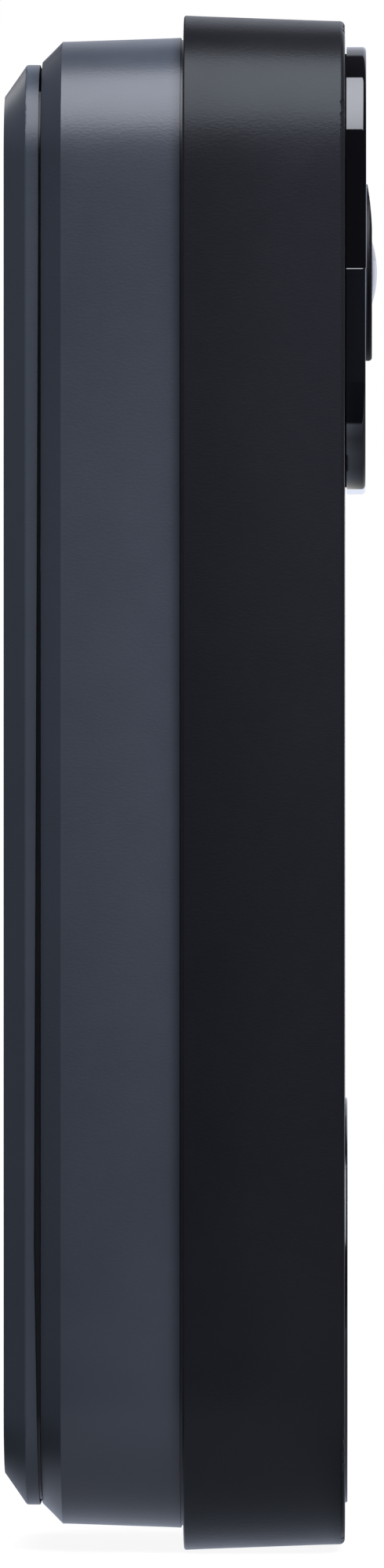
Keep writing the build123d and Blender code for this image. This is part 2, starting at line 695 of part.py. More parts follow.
def rear_housing():
    """Moulded back half of the case with the cell bays and the terminal room."""
    housing = rear_skin() + bay_tubs()
    room = RectangleRounded(ROOM_RIGHT - ROOM_LEFT, BAY_LENGTH, TERMINAL_ROOM_RADIUS)
    room = Pos(ROOM_X, UPPER_BAY + BAY_LENGTH / 2) * room
    pockets = [slab(room, REAR_BACK, TERMINAL_FLOOR)] + cell_pockets()
    return housing + rear_bosses() - (pockets + rear_holes())


# Front shell
def shell_bosses():
    """Bosses for the case screws: the upper pair on the front wall, the lower on gussets."""
    start = BAY_FRONT + SHELL_BOSS_GAP
    bosses = []
    for x, z in case_screw_places():
        end = SHELL_INSIDE if z > 0 else start + LOW_BOSS_LENGTH
        bosses.append(slab(disc(SHELL_BOSS_DIAMETER, x, z), start, end))
        if z < 0:
            lean = math.degrees(math.atan2(z + HEIGHT / 2 - CORNER_RADIUS, x - math.copysign(
                WIDTH / 2 - CORNER_RADIUS, x)))
            gusset = Pos(x, z) * Rot(0, 0, lean) * Pos(CORNER_RADIUS / 2, 0)
            bosses.append(slab(gusset * Rectangle(CORNER_RADIUS, GUSSET_THICKNESS), start, end))
    return bosses


def shell_cavity():
    """Hollow of the front shell, drafted as its outside is."""
    front = case_outline(drafted_inset(CAVITY_INSET, SHELL_INSIDE))
    return drafted(case_outline(CAVITY_INSET), PARTING, front, SHELL_INSIDE)


def camera_opening(margin):
    """Outline of the hole behind the camera window, drawn in by a margin."""
    height = OPENING_ABOVE + OPENING_BELOW
    outline = RectangleRounded(OPENING_WIDTH - 2 * margin, height - 2 * margin, OPENING_RADIUS - margin)
    return Pos(0, PANEL_Z + (OPENING_ABOVE - OPENING_BELOW) / 2) * outline


def sound_slots():
    """Slots through the bottom wall in front of the speaker."""
    middle = (SOUND_SLOT_COUNT - 1) / 2
    slots = []
    for index in range(SOUND_SLOT_COUNT):
        place = Pos((index - middle) * SOUND_SLOT_PITCH, -SPEAKER_START - SPEAKER_DEPTH / 2)
        slot = place * Rot(0, 0, 90) * SlotOverall(SOUND_SLOT_LENGTH, SOUND_SLOT_WIDTH)
        slots.append(upright(slot, -HEIGHT / 2, CORE_BOTTOM))
    return slots


def front_shell():
    """Moulded front half of the case."""
    shell = drafted(case_outline(0), PARTING, case_outline(drafted_inset(0, FACE)), FACE)
    shell = fillet(shell.faces().sort_by(Axis.Y)[0].edges(), FRONT_EDGE_RADIUS)
    shell = fillet(shell.faces().sort_by(Axis.Y)[-1].edges(), RIM_EDGE_RADIUS)
    skin = shell
    shell -= shell_cavity()
    shell += [boss & skin for boss in shell_bosses()]
    pilots = []
    for x, z in case_screw_places():
        pilot = disc(CASE_SCREW_SHANK + 2 * PILOT_CLEARANCE, x, z)
        pilots.append(slab(pilot, BAY_FRONT, BAY_FRONT + SHELL_BOSS_GAP + CASE_SCREW_BITE + FIT))
    shell -= pilots + sound_slots()
    shell -= slab(camera_opening(0), SHELL_INSIDE, FACE)
    return shell - slab(disc(RING_DIAMETER + 2 * FIT, 0, BUTTON_Z), SHELL_INSIDE, FACE)


def case_seal():
    """Rubber ring in the groove of the rear housing's spigot."""
    start = PARTING + SEAL_OFFSET + SEAL_PLAY
    end = PARTING + SEAL_OFFSET + SEAL_WIDTH - SEAL_PLAY
    outside = drafted_inset(CAVITY_INSET, end) + SEAL_PLAY
    ring = case_outline(outside) - case_outline(RIM_STEP + SEAL_DEPTH - SEAL_PLAY)
    return slab(ring, start, end)


def screw(head, height, shank, seat, bite, x, z):
    """Pan-head screw whose head sits behind a seat and whose shank runs towards the front."""
    outline = polygon((0, seat - height), (head / 2, seat - height), (head / 2, seat), (shank / 2, seat),
                      (shank / 2, seat + bite), (0, seat + bite))
    return turned(outline, x, z)


def case_screws():
    """Four screws from the rear housing into the front shell."""
    seat = REAR_BACK + CASE_SCREW_SEAT
    bite = BAY_FRONT + SHELL_BOSS_GAP + CASE_SCREW_BITE - seat
    return group(screw(CASE_SCREW_HEAD, CASE_SCREW_HEAD_HEIGHT, CASE_SCREW_SHANK, seat, bite, x, z)
                 for x, z in case_screw_places())


# Cells and contacts
def cell(x, bottom, nub_up):
    """One AA-size cell, standing in its bay."""
    can = CELL_LENGTH - CELL_NUB_LENGTH
    outline = polygon(
        (0, 0),
        (CELL_RADIUS - CELL_EDGE, 0),
        (CELL_RADIUS, CELL_EDGE),
        (CELL_RADIUS, can - CELL_EDGE),
        (CELL_RADIUS - CELL_EDGE, can),
        (CELL_NUB_DIAMETER / 2, can),
        (CELL_NUB_DIAMETER / 2, CELL_LENGTH),
        (0, CELL_LENGTH),
    )
    body = revolve(Plane.XZ * outline, Axis.Z)
    if nub_up:
        return Pos(x, -CELL_AXIS, bottom + SPRING_ROOM) * body
    return Pos(x, -CELL_AXIS, bottom + BAY_LENGTH - SPRING_ROOM) * Rot(180, 0, 0) * body


def contact(x, wall, way, sprung):
    """Sheet contact on a bay's end wall, with a tail to the board and a bowed leaf if sprung."""
    face = sorted((wall, wall + way * CONTACT_SHEET))
    back = CELL_AXIS - CONTACT_SPAN / 2
    front = CELL_AXIS + CONTACT_SPAN / 2
    half = CONTACT_WIDTH / 2
    tail = CONTACT_TAIL / 2
    strip = slab(block(x - half, x + half, *face), back, front)
    strip += slab(block(x - tail, x + tail, *face), front, BOARD_BACK)
    if not sprung:
        return strip
    foot = wall + way * CONTACT_SHEET
    crown = foot + way * SPRING_RISE
    upper = ThreePointArc((back, foot), (CELL_AXIS, crown), (front, foot))
    under = ThreePointArc((front - CONTACT_SHEET, foot), (CELL_AXIS, crown - way * CONTACT_SHEET),
                          (back + CONTACT_SHEET, foot))
    ends = [Line(upper @ 1, under @ 0), Line(under @ 1, upper @ 0)]
    return strip + sideways(make_face([upper, under] + ends), CONTACT_WIDTH, x)


def contacts(sprung):
    """Three contacts of one kind."""
    return group(contact(x, wall, way, sprung) for x, wall, way in contact_places(sprung))


# Boards and what they carry
def main_board():
    """Long board behind the button and the middle of the case."""
    middle = (MAIN_BOARD_BOTTOM + MAIN_BOARD_TOP) / 2
    outline = RectangleRounded(MAIN_BOARD_WIDTH, MAIN_BOARD_TOP - MAIN_BOARD_BOTTOM, BOARD_CORNER)
    outline = Pos(0, middle) * outline
    for x, z in main_post_places():
        outline -= disc(BOARD_SCREW_SHANK + 2 * SCREW_CLEARANCE, x, z)
    return slab(outline, BOARD_BACK, BOARD_FRONT)


def camera_board():
    """Board behind the camera window."""
    middle = (CAMERA_BOARD_BOTTOM + CAMERA_BOARD_TOP) / 2
    outline = RectangleRounded(CAMERA_BOARD_WIDTH, CAMERA_BOARD_TOP - CAMERA_BOARD_BOTTOM, BOARD_CORNER)
    outline = Pos(0, middle) * outline
    for x, z in camera_post_places():
        outline -= disc(BOARD_SCREW_SHANK + 2 * SCREW_CLEARANCE, x, z)
    return slab(outline, BOARD_BACK, BOARD_FRONT)


def board_screws():
    """Screws of both boards; their shanks point back into the posts."""
    screws = []
    for x, z in main_post_places() + camera_post_places():
        tip = BOARD_BACK - BOARD_SCREW_DEPTH + FIT
        shank = slab(disc(BOARD_SCREW_SHANK, x, z), tip, BOARD_FRONT)
        head = slab(disc(BOARD_SCREW_HEAD, x, z), BOARD_FRONT, BOARD_FRONT + BOARD_SCREW_HEAD_HEIGHT)
        screws.append(shank + head)
    return group(screws)


def on_board(width, height, thickness, x, z):
    """Small block that stands on the front of a board."""
    return slab(Pos(x, z) * Rectangle(width, height), BOARD_FRONT, BOARD_FRONT + thickness)


def shield_can():
    """Metal can over the radio and the processor."""
    outline = RectangleRounded(SHIELD_WIDTH, SHIELD_HEIGHT, SHIELD_CORNER)
    z = MAIN_BOARD_TOP - SHIELD_DROP - SHIELD_HEIGHT / 2
    return slab(Pos(0, z) * outline, BOARD_FRONT, BOARD_FRONT + SHIELD_THICKNESS)


def board_chips():
    """Row of power and audio chips above the can."""
    middle = (CHIP_COUNT - 1) / 2
    z = MAIN_BOARD_TOP - CHIP_DROP
    return group(on_board(CHIP_SIZE, CHIP_SIZE, CHIP_THICKNESS, (index - middle) * CHIP_PITCH, z)
                 for index in range(CHIP_COUNT))


def connector_places():
    """Heights of the two flat-cable connectors, main board first."""
    inner = CONNECTOR_MARGIN + CONNECTOR_HEIGHT / 2
    return (MAIN_BOARD_TOP - inner, CAMERA_BOARD_BOTTOM + inner)


def flex_connectors():
    """Connectors at the facing edges of the two boards."""
    return group(on_board(CONNECTOR_WIDTH, CONNECTOR_HEIGHT, CONNECTOR_THICKNESS, 0, z)
                 for z in connector_places())


def flex_cable():
    """Flat cable that bows between the two connectors."""
    low, high = connector_places()
    start = low + CONNECTOR_HEIGHT / 2
    end = high - CONNECTOR_HEIGHT / 2
    middle = (start + end) / 2
    back = BOARD_FRONT + (CONNECTOR_THICKNESS - FLEX_THICKNESS) / 2
    front = back + FLEX_THICKNESS
    inner = ThreePointArc((back, start), (back + FLEX_BOW, middle), (back, end))
    outer = ThreePointArc((front, end), (front + FLEX_BOW, middle), (front, start))
    ends = [Line(inner @ 1, outer @ 0), Line(outer @ 1, inner @ 0)]
    return sideways(make_face([inner, outer] + ends), FLEX_WIDTH)


# Camera
def window_half(way, front):
    """Part of the window above or below its split, rounded along its outer front edge."""
    outline = RectangleRounded(PANEL_SIZE, PANEL_SIZE, PANEL_RADIUS)
    outline &= Pos(0, way * PANEL_SIZE / 2 - SPLIT_DROP) * Rectangle(PANEL_SIZE, PANEL_SIZE)
    half = slab(Pos(0, PANEL_Z) * outline, PANEL_BACK, front)
    rim = half.faces().sort_by(Axis.Y)[0].edges().sort_by(Axis.Z, reverse=way < 0)[1:]
    return fillet(rim, PANEL_EDGE_RADIUS)


def camera_window():
    """Proud glossy window with the lens hole and its seat, the microphone hole and a locating frame."""
    window = window_half(1, PANEL_FRONT) + window_half(-1, LENS_RING_SEAT)
    frame = camera_opening(FIT) - camera_opening(FIT + LOCATOR_WALL)
    window += slab(frame, FACE - LOCATOR_HEIGHT, PANEL_BACK)
    for side in (-1, 1):
        edge = side * PANEL_SIZE / 2
        root = edge - side * SPLIT_DEPTH
        split = polygon((edge, -SPLIT_BEVEL), (root, 0), (edge, SPLIT_GAP))
        window -= slab(Pos(0, PANEL_Z - SPLIT_DROP) * split, PANEL_BACK, PANEL_FRONT)
    window -= slab(disc(MIC_HOLE_DIAMETER, MIC_OFFSET_X, MIC_Z), PANEL_BACK, PANEL_FRONT)
    window -= slab(disc(LENS_RING_DIAMETER + 2 * FIT, 0, PANEL_Z), LENS_RING_SEAT, PANEL_FRONT)
    return window - slab(disc(LENS_RING_SPIGOT + 2 * FIT, 0, PANEL_Z), PANEL_BACK, PANEL_FRONT)


def window_tape():
    """Adhesive frame between the camera window and the shell."""
    outer = PANEL_SIZE - 2 * TAPE_INSET
    tape = RectangleRounded(outer, outer, PANEL_RADIUS - TAPE_INSET)
    tape -= RectangleRounded(2 * TAPE_INNER, 2 * TAPE_INNER, PANEL_RADIUS - TAPE_INSET - TAPE_WIDTH)
    return slab(Pos(0, PANEL_Z) * tape, FACE, PANEL_BACK)


def lens_ring():
    """Ring round the lens, eased off at its upper side."""
    back = PANEL_FRONT - LENS_RING_DEPTH
    lip = LENS_RING_FRONT - LENS_RING_LIP
    seat = lip - GLASS_DEPTH
    throat = DOME_DIAMETER / 2 + FIT
    glass = GLASS_DIAMETER / 2 + FIT
    barrel = BARREL_DIAMETER / 2 + FIT
    ring = turned(polygon(
        (barrel, back),
        (LENS_RING_SPIGOT / 2, back),
        (LENS_RING_SPIGOT / 2, LENS_RING_SEAT),
        (LENS_RING_DIAMETER / 2, LENS_RING_SEAT),
        (LENS_RING_DIAMETER / 2, LENS_RING_FRONT),
        (throat, LENS_RING_FRONT),
        (throat, lip),
        (glass, lip),
        (glass, seat),
        (barrel, seat),
    ), 0, PANEL_Z)
    rim = ring.edges().filter_by(GeomType.CIRCLE).group_by(Axis.Y)[0].sort_by(SortBy.RADIUS)[-1]
    ring = fillet(rim, LENS_RING_EDGE)
    foot = (LENS_RING_FRONT, PANEL_Z + BROW_START)
    top = (LENS_RING_FRONT - BROW_DROP, PANEL_Z + LENS_RING_DIAMETER / 2)
    middle = ((foot[0] + top[0]) / 2 + BROW_BULGE, (foot[1] + top[1]) / 2)
    slope = ThreePointArc(foot, middle, top)
    sides = Polyline(top, (LENS_RING_FRONT + BROW_DROP, top[1]), (LENS_RING_FRONT + BROW_DROP, foot[1]), foot)
    return ring - sideways(make_face([slope, sides]), LENS_RING_DIAMETER)


def lens_dome():
    """Domed front glass, held behind the lip of the lens ring."""
    shoulder = LENS_RING_FRONT - LENS_RING_LIP - FIT
    back = shoulder - GLASS_DEPTH + 2 * FIT
    dome = cap_arc(DOME_DIAMETER / 2, LENS_RING_FRONT, DOME_PROUD)
    sides = Polyline(dome @ 1, (0, back), (GLASS_DIAMETER / 2, back), (GLASS_DIAMETER / 2, shoulder),
                     (DOME_DIAMETER / 2, shoulder), dome @ 0)
    return turned(make_face([sides, dome]), 0, PANEL_Z)


def barrel_ends():
    """Back and front depth of the lens barrel."""
    front = LENS_RING_FRONT - LENS_RING_LIP - GLASS_DEPTH - BARREL_FRONT_GAP
    return BOARD_FRONT + BARREL_BACK_GAP, front


def lens_barrel():
    """Tube that carries the inner lens elements."""
    back, front = barrel_ends()
    outline = disc(BARREL_DIAMETER, 0, PANEL_Z) - disc(BARREL_BORE, 0, PANEL_Z)
    return slab(outline, back, front)


def lens_elements():
    """Inner lens elements, flat at the back and curved at the front."""
    back, _ = barrel_ends()
    half = BARREL_BORE / 2 - FIT
    elements = []
    for offset in ELEMENT_OFFSETS:
        start = back + offset
        edge = start + ELEMENT_THICKNESS - ELEMENT_BULGE
        bulge = cap_arc(half, edge, ELEMENT_BULGE)
        sides = Polyline(bulge @ 1, (0, start), (half, start), bulge @ 0)
        elements.append(turned(make_face([sides, bulge]), 0, PANEL_Z))
    return group(elements)


def lens_holder():
    """Square mount that holds the barrel over the sensor."""
    back, _ = barrel_ends()
    end = BOARD_FRONT + HOLDER_HEIGHT
    holder = slab(Pos(0, PANEL_Z) * Rectangle(HOLDER_SIZE, HOLDER_SIZE), BOARD_FRONT, end)
    holder -= slab(Pos(0, PANEL_Z) * Rectangle(HOLDER_ROOM, HOLDER_ROOM), BOARD_FRONT, back)
    return holder - slab(disc(BARREL_DIAMETER + 2 * PILOT_CLEARANCE, 0, PANEL_Z), back, end)


def image_sensor():
    """Image sensor under the lens."""
    return on_board(SENSOR_WIDTH, SENSOR_HEIGHT, SENSOR_THICKNESS, 0, PANEL_Z)


def ir_leds():
    """Infrared lamps on either side of the lens."""
    return group(on_board(IR_LED_SIZE, IR_LED_SIZE, IR_LED_HEIGHT, side * IR_LED_OFFSET, PANEL_Z)
                 for side in (-1, 1))


def microphone():
    """Microphone behind the hole in the window."""
    return on_board(MIC_SIZE, MIC_SIZE, MIC_HEIGHT, MIC_OFFSET_X, MIC_Z)


def microphone_boot():
    """Rubber tube from the microphone to its hole."""
    outline = disc(BOOT_DIAMETER, MIC_OFFSET_X, MIC_Z) - disc(BOOT_BORE, MIC_OFFSET_X, MIC_Z)
    return slab(outline, BOARD_FRONT + MIC_HEIGHT, PANEL_BACK)


# Call button
def light_ring():
    """Frosted light guide round the button, with a flange behind the front wall."""
    inner = RING_RADIUS - RING_WIDTH
    flange_front = SHELL_INSIDE - FIT / 2
    flange_back = flange_front - RING_FLANGE_THICKNESS
    front = FACE + RING_PROUD
    return turned(polygon(
        (inner, flange_back),
        (RING_RADIUS + RING_FLANGE, flange_back),
        (RING_RADIUS + RING_FLANGE, flange_front),
        (RING_RADIUS, flange_front),
        (RING_RADIUS, front - RING_EDGE),
        (RING_RADIUS - RING_EDGE, front),
        (inner + RING_EDGE, front),
        (inner, front - RING_EDGE),
    ), 0, BUTTON_Z)


def button_depths():
    """Depths of the cap's flange back and of the end of its stem."""
    ring_back = SHELL_INSIDE - FIT / 2 - RING_FLANGE_THICKNESS
    flange_back = ring_back - BUTTON_FLANGE_PLAY - BUTTON_FLANGE_THICKNESS
    stem_end = BOARD_FRONT + SWITCH_HEIGHT + SWITCH_GAP + BUTTON_TRAVEL
    return flange_back, stem_end


def call_button():
    """Dished button cap with a skirt, a retaining flange and a stem over the switch."""
    flange_back, stem_end = button_depths()
    flange_front = flange_back + BUTTON_FLANGE_THICKNESS
    front = FACE + BUTTON_PROUD
    radius = RING_RADIUS - RING_WIDTH - BUTTON_PLAY
    inside = front - BUTTON_DISH - BUTTON_WALL
    bore = radius - BUTTON_WALL
    stem = BUTTON_STEM_DIAMETER / 2
    land = radius - BUTTON_LAND
    sides = Polyline(
        (0, front - BUTTON_DISH),
        (0, stem_end),
        (stem, stem_end),
        (stem, inside),
        (bore, inside),
        (bore, flange_back),
        (radius + BUTTON_FLANGE, flange_back),
        (radius + BUTTON_FLANGE, flange_front),
        (radius, flange_front),
        (radius, front - BUTTON_EDGE),
        (radius - BUTTON_EDGE, front),
        (land, front),
    )
    dish = cap_arc(land, front, -BUTTON_DISH)
    return turned(make_face([sides, dish]), 0, BUTTON_Z)


def button_membrane():
    """Silicone dome between the stem and the switch, which lifts the button again."""
    _, stem_end = button_depths()
    pad = SWITCH_SIZE / math.sqrt(2) + MEMBRANE_PLAY
    foot_inner = pad + MEMBRANE_CONE
    foot = foot_inner + MEMBRANE_FOOT
    top = stem_end - MEMBRANE_PLAY
    under = BOARD_FRONT + SWITCH_HEIGHT + MEMBRANE_PLAY
    return turned(polygon(
        (0, top),
        (0, under),
        (pad, under),
        (foot_inner, BOARD_FRONT),
        (foot, BOARD_FRONT),
        (foot, BOARD_FRONT + MEMBRANE_SHEET),
        (foot_inner, BOARD_FRONT + MEMBRANE_SHEET),
        (pad, top),
    ), 0, BUTTON_Z)


def call_switch():
    """Key switch under the membrane."""
    return on_board(SWITCH_SIZE, SWITCH_SIZE, SWITCH_HEIGHT, 0, BUTTON_Z)


def ring_leds():
    """Lamps on the main board under the light ring."""
    radius = RING_RADIUS - RING_WIDTH / 2 + RING_FLANGE / 2
    leds = []
    for angle in RING_LED_ANGLES:
        x = radius * math.cos(math.radians(angle))
        z = BUTTON_Z + radius * math.sin(math.radians(angle))
        leds.append(on_board(RING_LED_SIZE, RING_LED_SIZE, RING_LED_HEIGHT, x, z))
    return group(leds)


# Speaker
def speaker_bottom():
    """Height of the speaker's underside, on its gasket."""
    inset = drafted_inset(CAVITY_INSET, SPEAKER_START + SPEAKER_DEPTH)
    return inset - HEIGHT / 2 + FIT + GASKET_THICKNESS


def speaker_outline(margin):
    """Plan outline of the speaker, drawn in by a margin."""
    outline = RectangleRounded(SPEAKER_WIDTH - 2 * margin, SPEAKER_DEPTH - 2 * margin, SPEAKER_CORNER)
    return Pos(0, -SPEAKER_START - SPEAKER_DEPTH / 2) * outline


def speaker():
    """Box speaker that faces down, with a sunk cone."""
    bottom = speaker_bottom()
    box = upright(speaker_outline(0), bottom, bottom + SPEAKER_HEIGHT)
    return box - upright(speaker_outline(CONE_MARGIN), bottom, bottom + CONE_DEPTH)


def speaker_gasket():
    """Foam frame between the speaker and the bottom wall."""
    bottom = speaker_bottom()
    frame = speaker_outline(0) - speaker_outline(GASKET_WIDTH)
    return upright(frame, bottom - GASKET_THICKNESS, bottom)


# Terminal room
def terminal_leg(x, margin):
    """Front-view outline of a terminal's leg, grown by a margin."""
    width = TERMINAL_LEG / 2 + margin
    low = TERMINAL_Z - TERMINAL_PAD / 2 - margin
    return block(x - width, x + width, low, low + TERMINAL_SHEET + 2 * margin)


def terminal_strips():
    """Brass strips under the terminal screws, with legs to the main board."""
    strips = []
    for x in terminal_places():
        pad = Pos(x, TERMINAL_Z) * Rectangle(TERMINAL_PAD, TERMINAL_PAD)
        pad -= disc(TERMINAL_SHANK + 2 * PILOT_CLEARANCE, x, TERMINAL_Z)
        strip = slab(pad, TERMINAL_FLOOR - TERMINAL_SHEET, TERMINAL_FLOOR)
        strips.append(strip + slab(terminal_leg(x, 0), TERMINAL_FLOOR - TERMINAL_SHEET, BOARD_BACK))
    return group(strips)


def terminal_screws():
    """Two slotted screws for the house wires."""
    seat = TERMINAL_FLOOR - TERMINAL_SHEET
    top = seat - TERMINAL_HEAD_HEIGHT
    head = TERMINAL_HEAD / 2
    shank = TERMINAL_SHANK / 2
    end = TERMINAL_FLOOR + TERMINAL_BITE - FIT
    outline = polygon((0, top), (head - TERMINAL_HEAD_EDGE, top), (head, top + TERMINAL_HEAD_EDGE),
                      (head, seat), (shank, seat), (shank, end), (0, end))
    screws = []
    for x in terminal_places():
        cut = Pos(x, TERMINAL_Z) * Rectangle(TERMINAL_HEAD, TERMINAL_SLOT_WIDTH)
        screws.append(turned(outline, x, TERMINAL_Z) - slab(cut, top, top + TERMINAL_SLOT_DEPTH))
    return group(screws)


def reset_collar():
    """Back depth of the reset button's collar."""
    return TERMINAL_FLOOR + RESET_GUIDE_LENGTH + RESET_COLLAR_GAP


def reset_button():
    """Long plunger through the housing, held by a collar."""
    radius = RESET_DIAMETER / 2
    collar = reset_collar()
    end = BOARD_BACK - RESET_SWITCH_HEIGHT - RESET_SWITCH_GAP - RESET_TRAVEL
    return turned(polygon(
        (0, TERMINAL_FLOOR - RESET_PROUD),
        (radius, TERMINAL_FLOOR - RESET_PROUD),
        (radius, collar),
        (radius + RESET_COLLAR, collar),
        (radius + RESET_COLLAR, collar + RESET_COLLAR_THICKNESS),
        (radius, collar + RESET_COLLAR_THICKNESS),
        (radius, end),
        (0, end),
    ), ROOM_X, RESET_Z)


def reset_switch():
    """Key switch on the back of the camera board, in line with the reset button."""
    outline = Pos(ROOM_X, RESET_Z) * Rectangle(RESET_SWITCH_SIZE, RESET_SWITCH_SIZE)
    return slab(outline, BOARD_BACK - RESET_SWITCH_HEIGHT, BOARD_BACK)


def release_latch():
    """Spring strip whose nose drops into the notch of the catch."""
    top = LATCH_UNDER + LATCH_LEAF
    nose = CATCH_TOP - LATCH_ENGAGE
    nose_front = LATCH_TIP + LATCH_NOSE
    end = LATCH_TIP + LATCH_REACH
    outline = polygon(
        (LATCH_TIP, top),
        (LATCH_TIP, nose + LATCH_NOSE_RAMP),
        (LATCH_TIP + LATCH_NOSE_RAMP, nose),
        (nose_front, nose),
        (nose_front, LATCH_UNDER),
        (end, LATCH_UNDER),
        (end, top),
    )
    return sideways(outline, LATCH_WIDTH)


def parts():
    """Every part of the doorbell under the name of its node."""
    made = {
        "mounting_plate": mounting_plate(),
        "rear_housing": rear_housing(),
        "front_shell": front_shell(),
        "case_seal": case_seal(),
        "case_screws": case_screws(),
        "contact_springs": contacts(True),
        "contact_plates": contacts(False),
        "main_board": main_board(),
        "camera_board": camera_board(),
        "board_screws": board_screws(),
        "shield_can": shield_can(),
        "board_chips": board_chips(),
        "flex_connectors": flex_connectors(),
        "flex_cable": flex_cable(),
        "camera_window": camera_window(),
        "window_tape": window_tape(),
        "lens_ring": lens_ring(),
        "lens_dome": lens_dome(),
        "lens_barrel": lens_barrel(),
        "lens_elements": lens_elements(),
        "lens_holder": lens_holder(),
        "image_sensor": image_sensor(),
        "ir_leds": ir_leds(),
        "microphone": microphone(),
        "microphone_boot": microphone_boot(),
        "light_ring": light_ring(),
        "call_button": call_button(),
        "button_membrane": button_membrane(),
        "call_switch": call_switch(),
        "ring_leds": ring_leds(),
        "speaker": speaker(),
        "speaker_gasket": speaker_gasket(),
        "terminal_strips": terminal_strips(),
        "terminal_screws": terminal_screws(),
        "reset_button": reset_button(),
        "reset_switch": reset_switch(),
        "release_latch": release_latch(),
    }
    for name, place in cell_places().items():
        made[name] = cell(*place)
    return made


os.makedirs("parts", exist_ok=True)
for node, shape in parts().items():
    export_step(shape, f"parts/{node}.step")
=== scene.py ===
"""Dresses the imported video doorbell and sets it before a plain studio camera.

The CAD solids keep their shapes, and each gets a finish built from nodes. The cross-recessed screws and the thin
dome under the button, which the solids leave plain, are built here. Lengths are metres in the CAD frame, where the
front looks along -Y and +Z is up. A field whose name ends in _mm is millimetres, and one in _deg is degrees.
"""

import logging
import math
from dataclasses import dataclass, field
from enum import Enum
from typing import Any

import bmesh
import bpy
from mathutils import Matrix, Vector

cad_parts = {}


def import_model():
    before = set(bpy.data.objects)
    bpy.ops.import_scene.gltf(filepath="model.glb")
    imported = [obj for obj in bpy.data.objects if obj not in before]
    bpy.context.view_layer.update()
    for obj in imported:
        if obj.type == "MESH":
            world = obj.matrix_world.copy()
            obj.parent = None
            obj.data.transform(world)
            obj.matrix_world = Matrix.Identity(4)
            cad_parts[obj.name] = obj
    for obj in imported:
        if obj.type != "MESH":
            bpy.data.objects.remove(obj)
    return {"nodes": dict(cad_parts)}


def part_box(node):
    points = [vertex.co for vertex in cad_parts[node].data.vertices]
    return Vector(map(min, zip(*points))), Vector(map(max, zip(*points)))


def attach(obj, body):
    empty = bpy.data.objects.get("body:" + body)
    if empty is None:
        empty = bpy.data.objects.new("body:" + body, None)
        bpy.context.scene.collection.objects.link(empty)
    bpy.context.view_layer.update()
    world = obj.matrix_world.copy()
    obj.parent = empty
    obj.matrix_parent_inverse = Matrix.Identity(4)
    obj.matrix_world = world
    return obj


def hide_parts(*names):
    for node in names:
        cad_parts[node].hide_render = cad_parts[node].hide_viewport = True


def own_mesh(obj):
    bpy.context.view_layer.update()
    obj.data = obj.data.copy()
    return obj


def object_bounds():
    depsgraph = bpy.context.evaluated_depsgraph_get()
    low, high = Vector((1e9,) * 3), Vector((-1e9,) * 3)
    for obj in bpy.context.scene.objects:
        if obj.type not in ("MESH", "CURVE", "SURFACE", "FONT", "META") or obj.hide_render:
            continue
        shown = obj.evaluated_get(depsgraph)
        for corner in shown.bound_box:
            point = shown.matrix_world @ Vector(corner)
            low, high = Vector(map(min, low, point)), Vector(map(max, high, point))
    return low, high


frame: dict[str, Any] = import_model()
CAD_BOX: tuple[Vector, Vector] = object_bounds()
log = logging.getLogger("doorbell")

MM = 0.001
WHITE = (1.0, 1.0, 1.0, 1.0)
# Points nearer to each other than this are one point
SEAM = 1e-7

# Sockets that a name doesn't tell apart: the ends of a range's two spans, and a mix's two inputs and its output
FROM_LOW, FROM_HIGH, TO_LOW, TO_HIGH = 1, 2, 3, 4
COLOUR_A, COLOUR_B, COLOUR_OUT = 6, 7, 2
VECTOR_A, VECTOR_B, VECTOR_OUT = 4, 5, 1
# A range that leaves and arrives gently
SOFT_ENDS = {"interpolation_type": "SMOOTHSTEP"}


class Body(Enum):
    """Moving bodies of the frame that a new piece can ride on."""

    CASE = "doorbell"


class Way(Enum):
    """Direction that a screw's head looks in."""

    BACK = 1.0
    FRONT = -1.0


class Axis(Enum):
    """Output of a coordinate split, by axis."""

    X = "X"
    Y = "Y"
    Z = "Z"


def linear(code: str) -> tuple[float, float, float, float]:
    """Turns an sRGB hex colour into linear light.

    Args:
        code: six hex digits, such as "3c404b".

    Returns:
        Red, green, blue and an alpha of one.
    """
    values = [int(code[place:place + 2], 16) / 255 for place in (0, 2, 4)]
    out = [v / 12.92 if v <= 0.04045 else ((v + 0.055) / 1.055) ** 2.4 for v in values]
    return out[0], out[1], out[2], 1.0


def add_node(tree: bpy.types.NodeTree, kind: str, settings: dict[Any, Any] | None = None,
             links: dict[Any, tuple[bpy.types.Node, Any]] | None = None) -> bpy.types.Node:
    """Adds one node with its settings and links.

    Args:
        tree: the node tree that takes it.
        kind: Blender's name of the node.
        settings: values by property name, or by the name or number of an input socket.
        links: source node and output socket, by the name or number of an input socket.

    Returns:
        The new node.
    """
    node = tree.nodes.new(kind)
    for key, value in (settings or {}).items():
        if isinstance(key, str) and key in node.bl_rna.properties:
            setattr(node, key, value)
        else:
            node.inputs[key].default_value = value
    for key, (source, socket) in (links or {}).items():
        tree.links.new(source.outputs[socket], node.inputs[key])
    return node


@dataclass(frozen=True)
class Tone:
    """A change of a colour's strength between two places along an axis."""

    axis: Axis
    start_mm: float
    end_mm: float
    start: float
    end: float


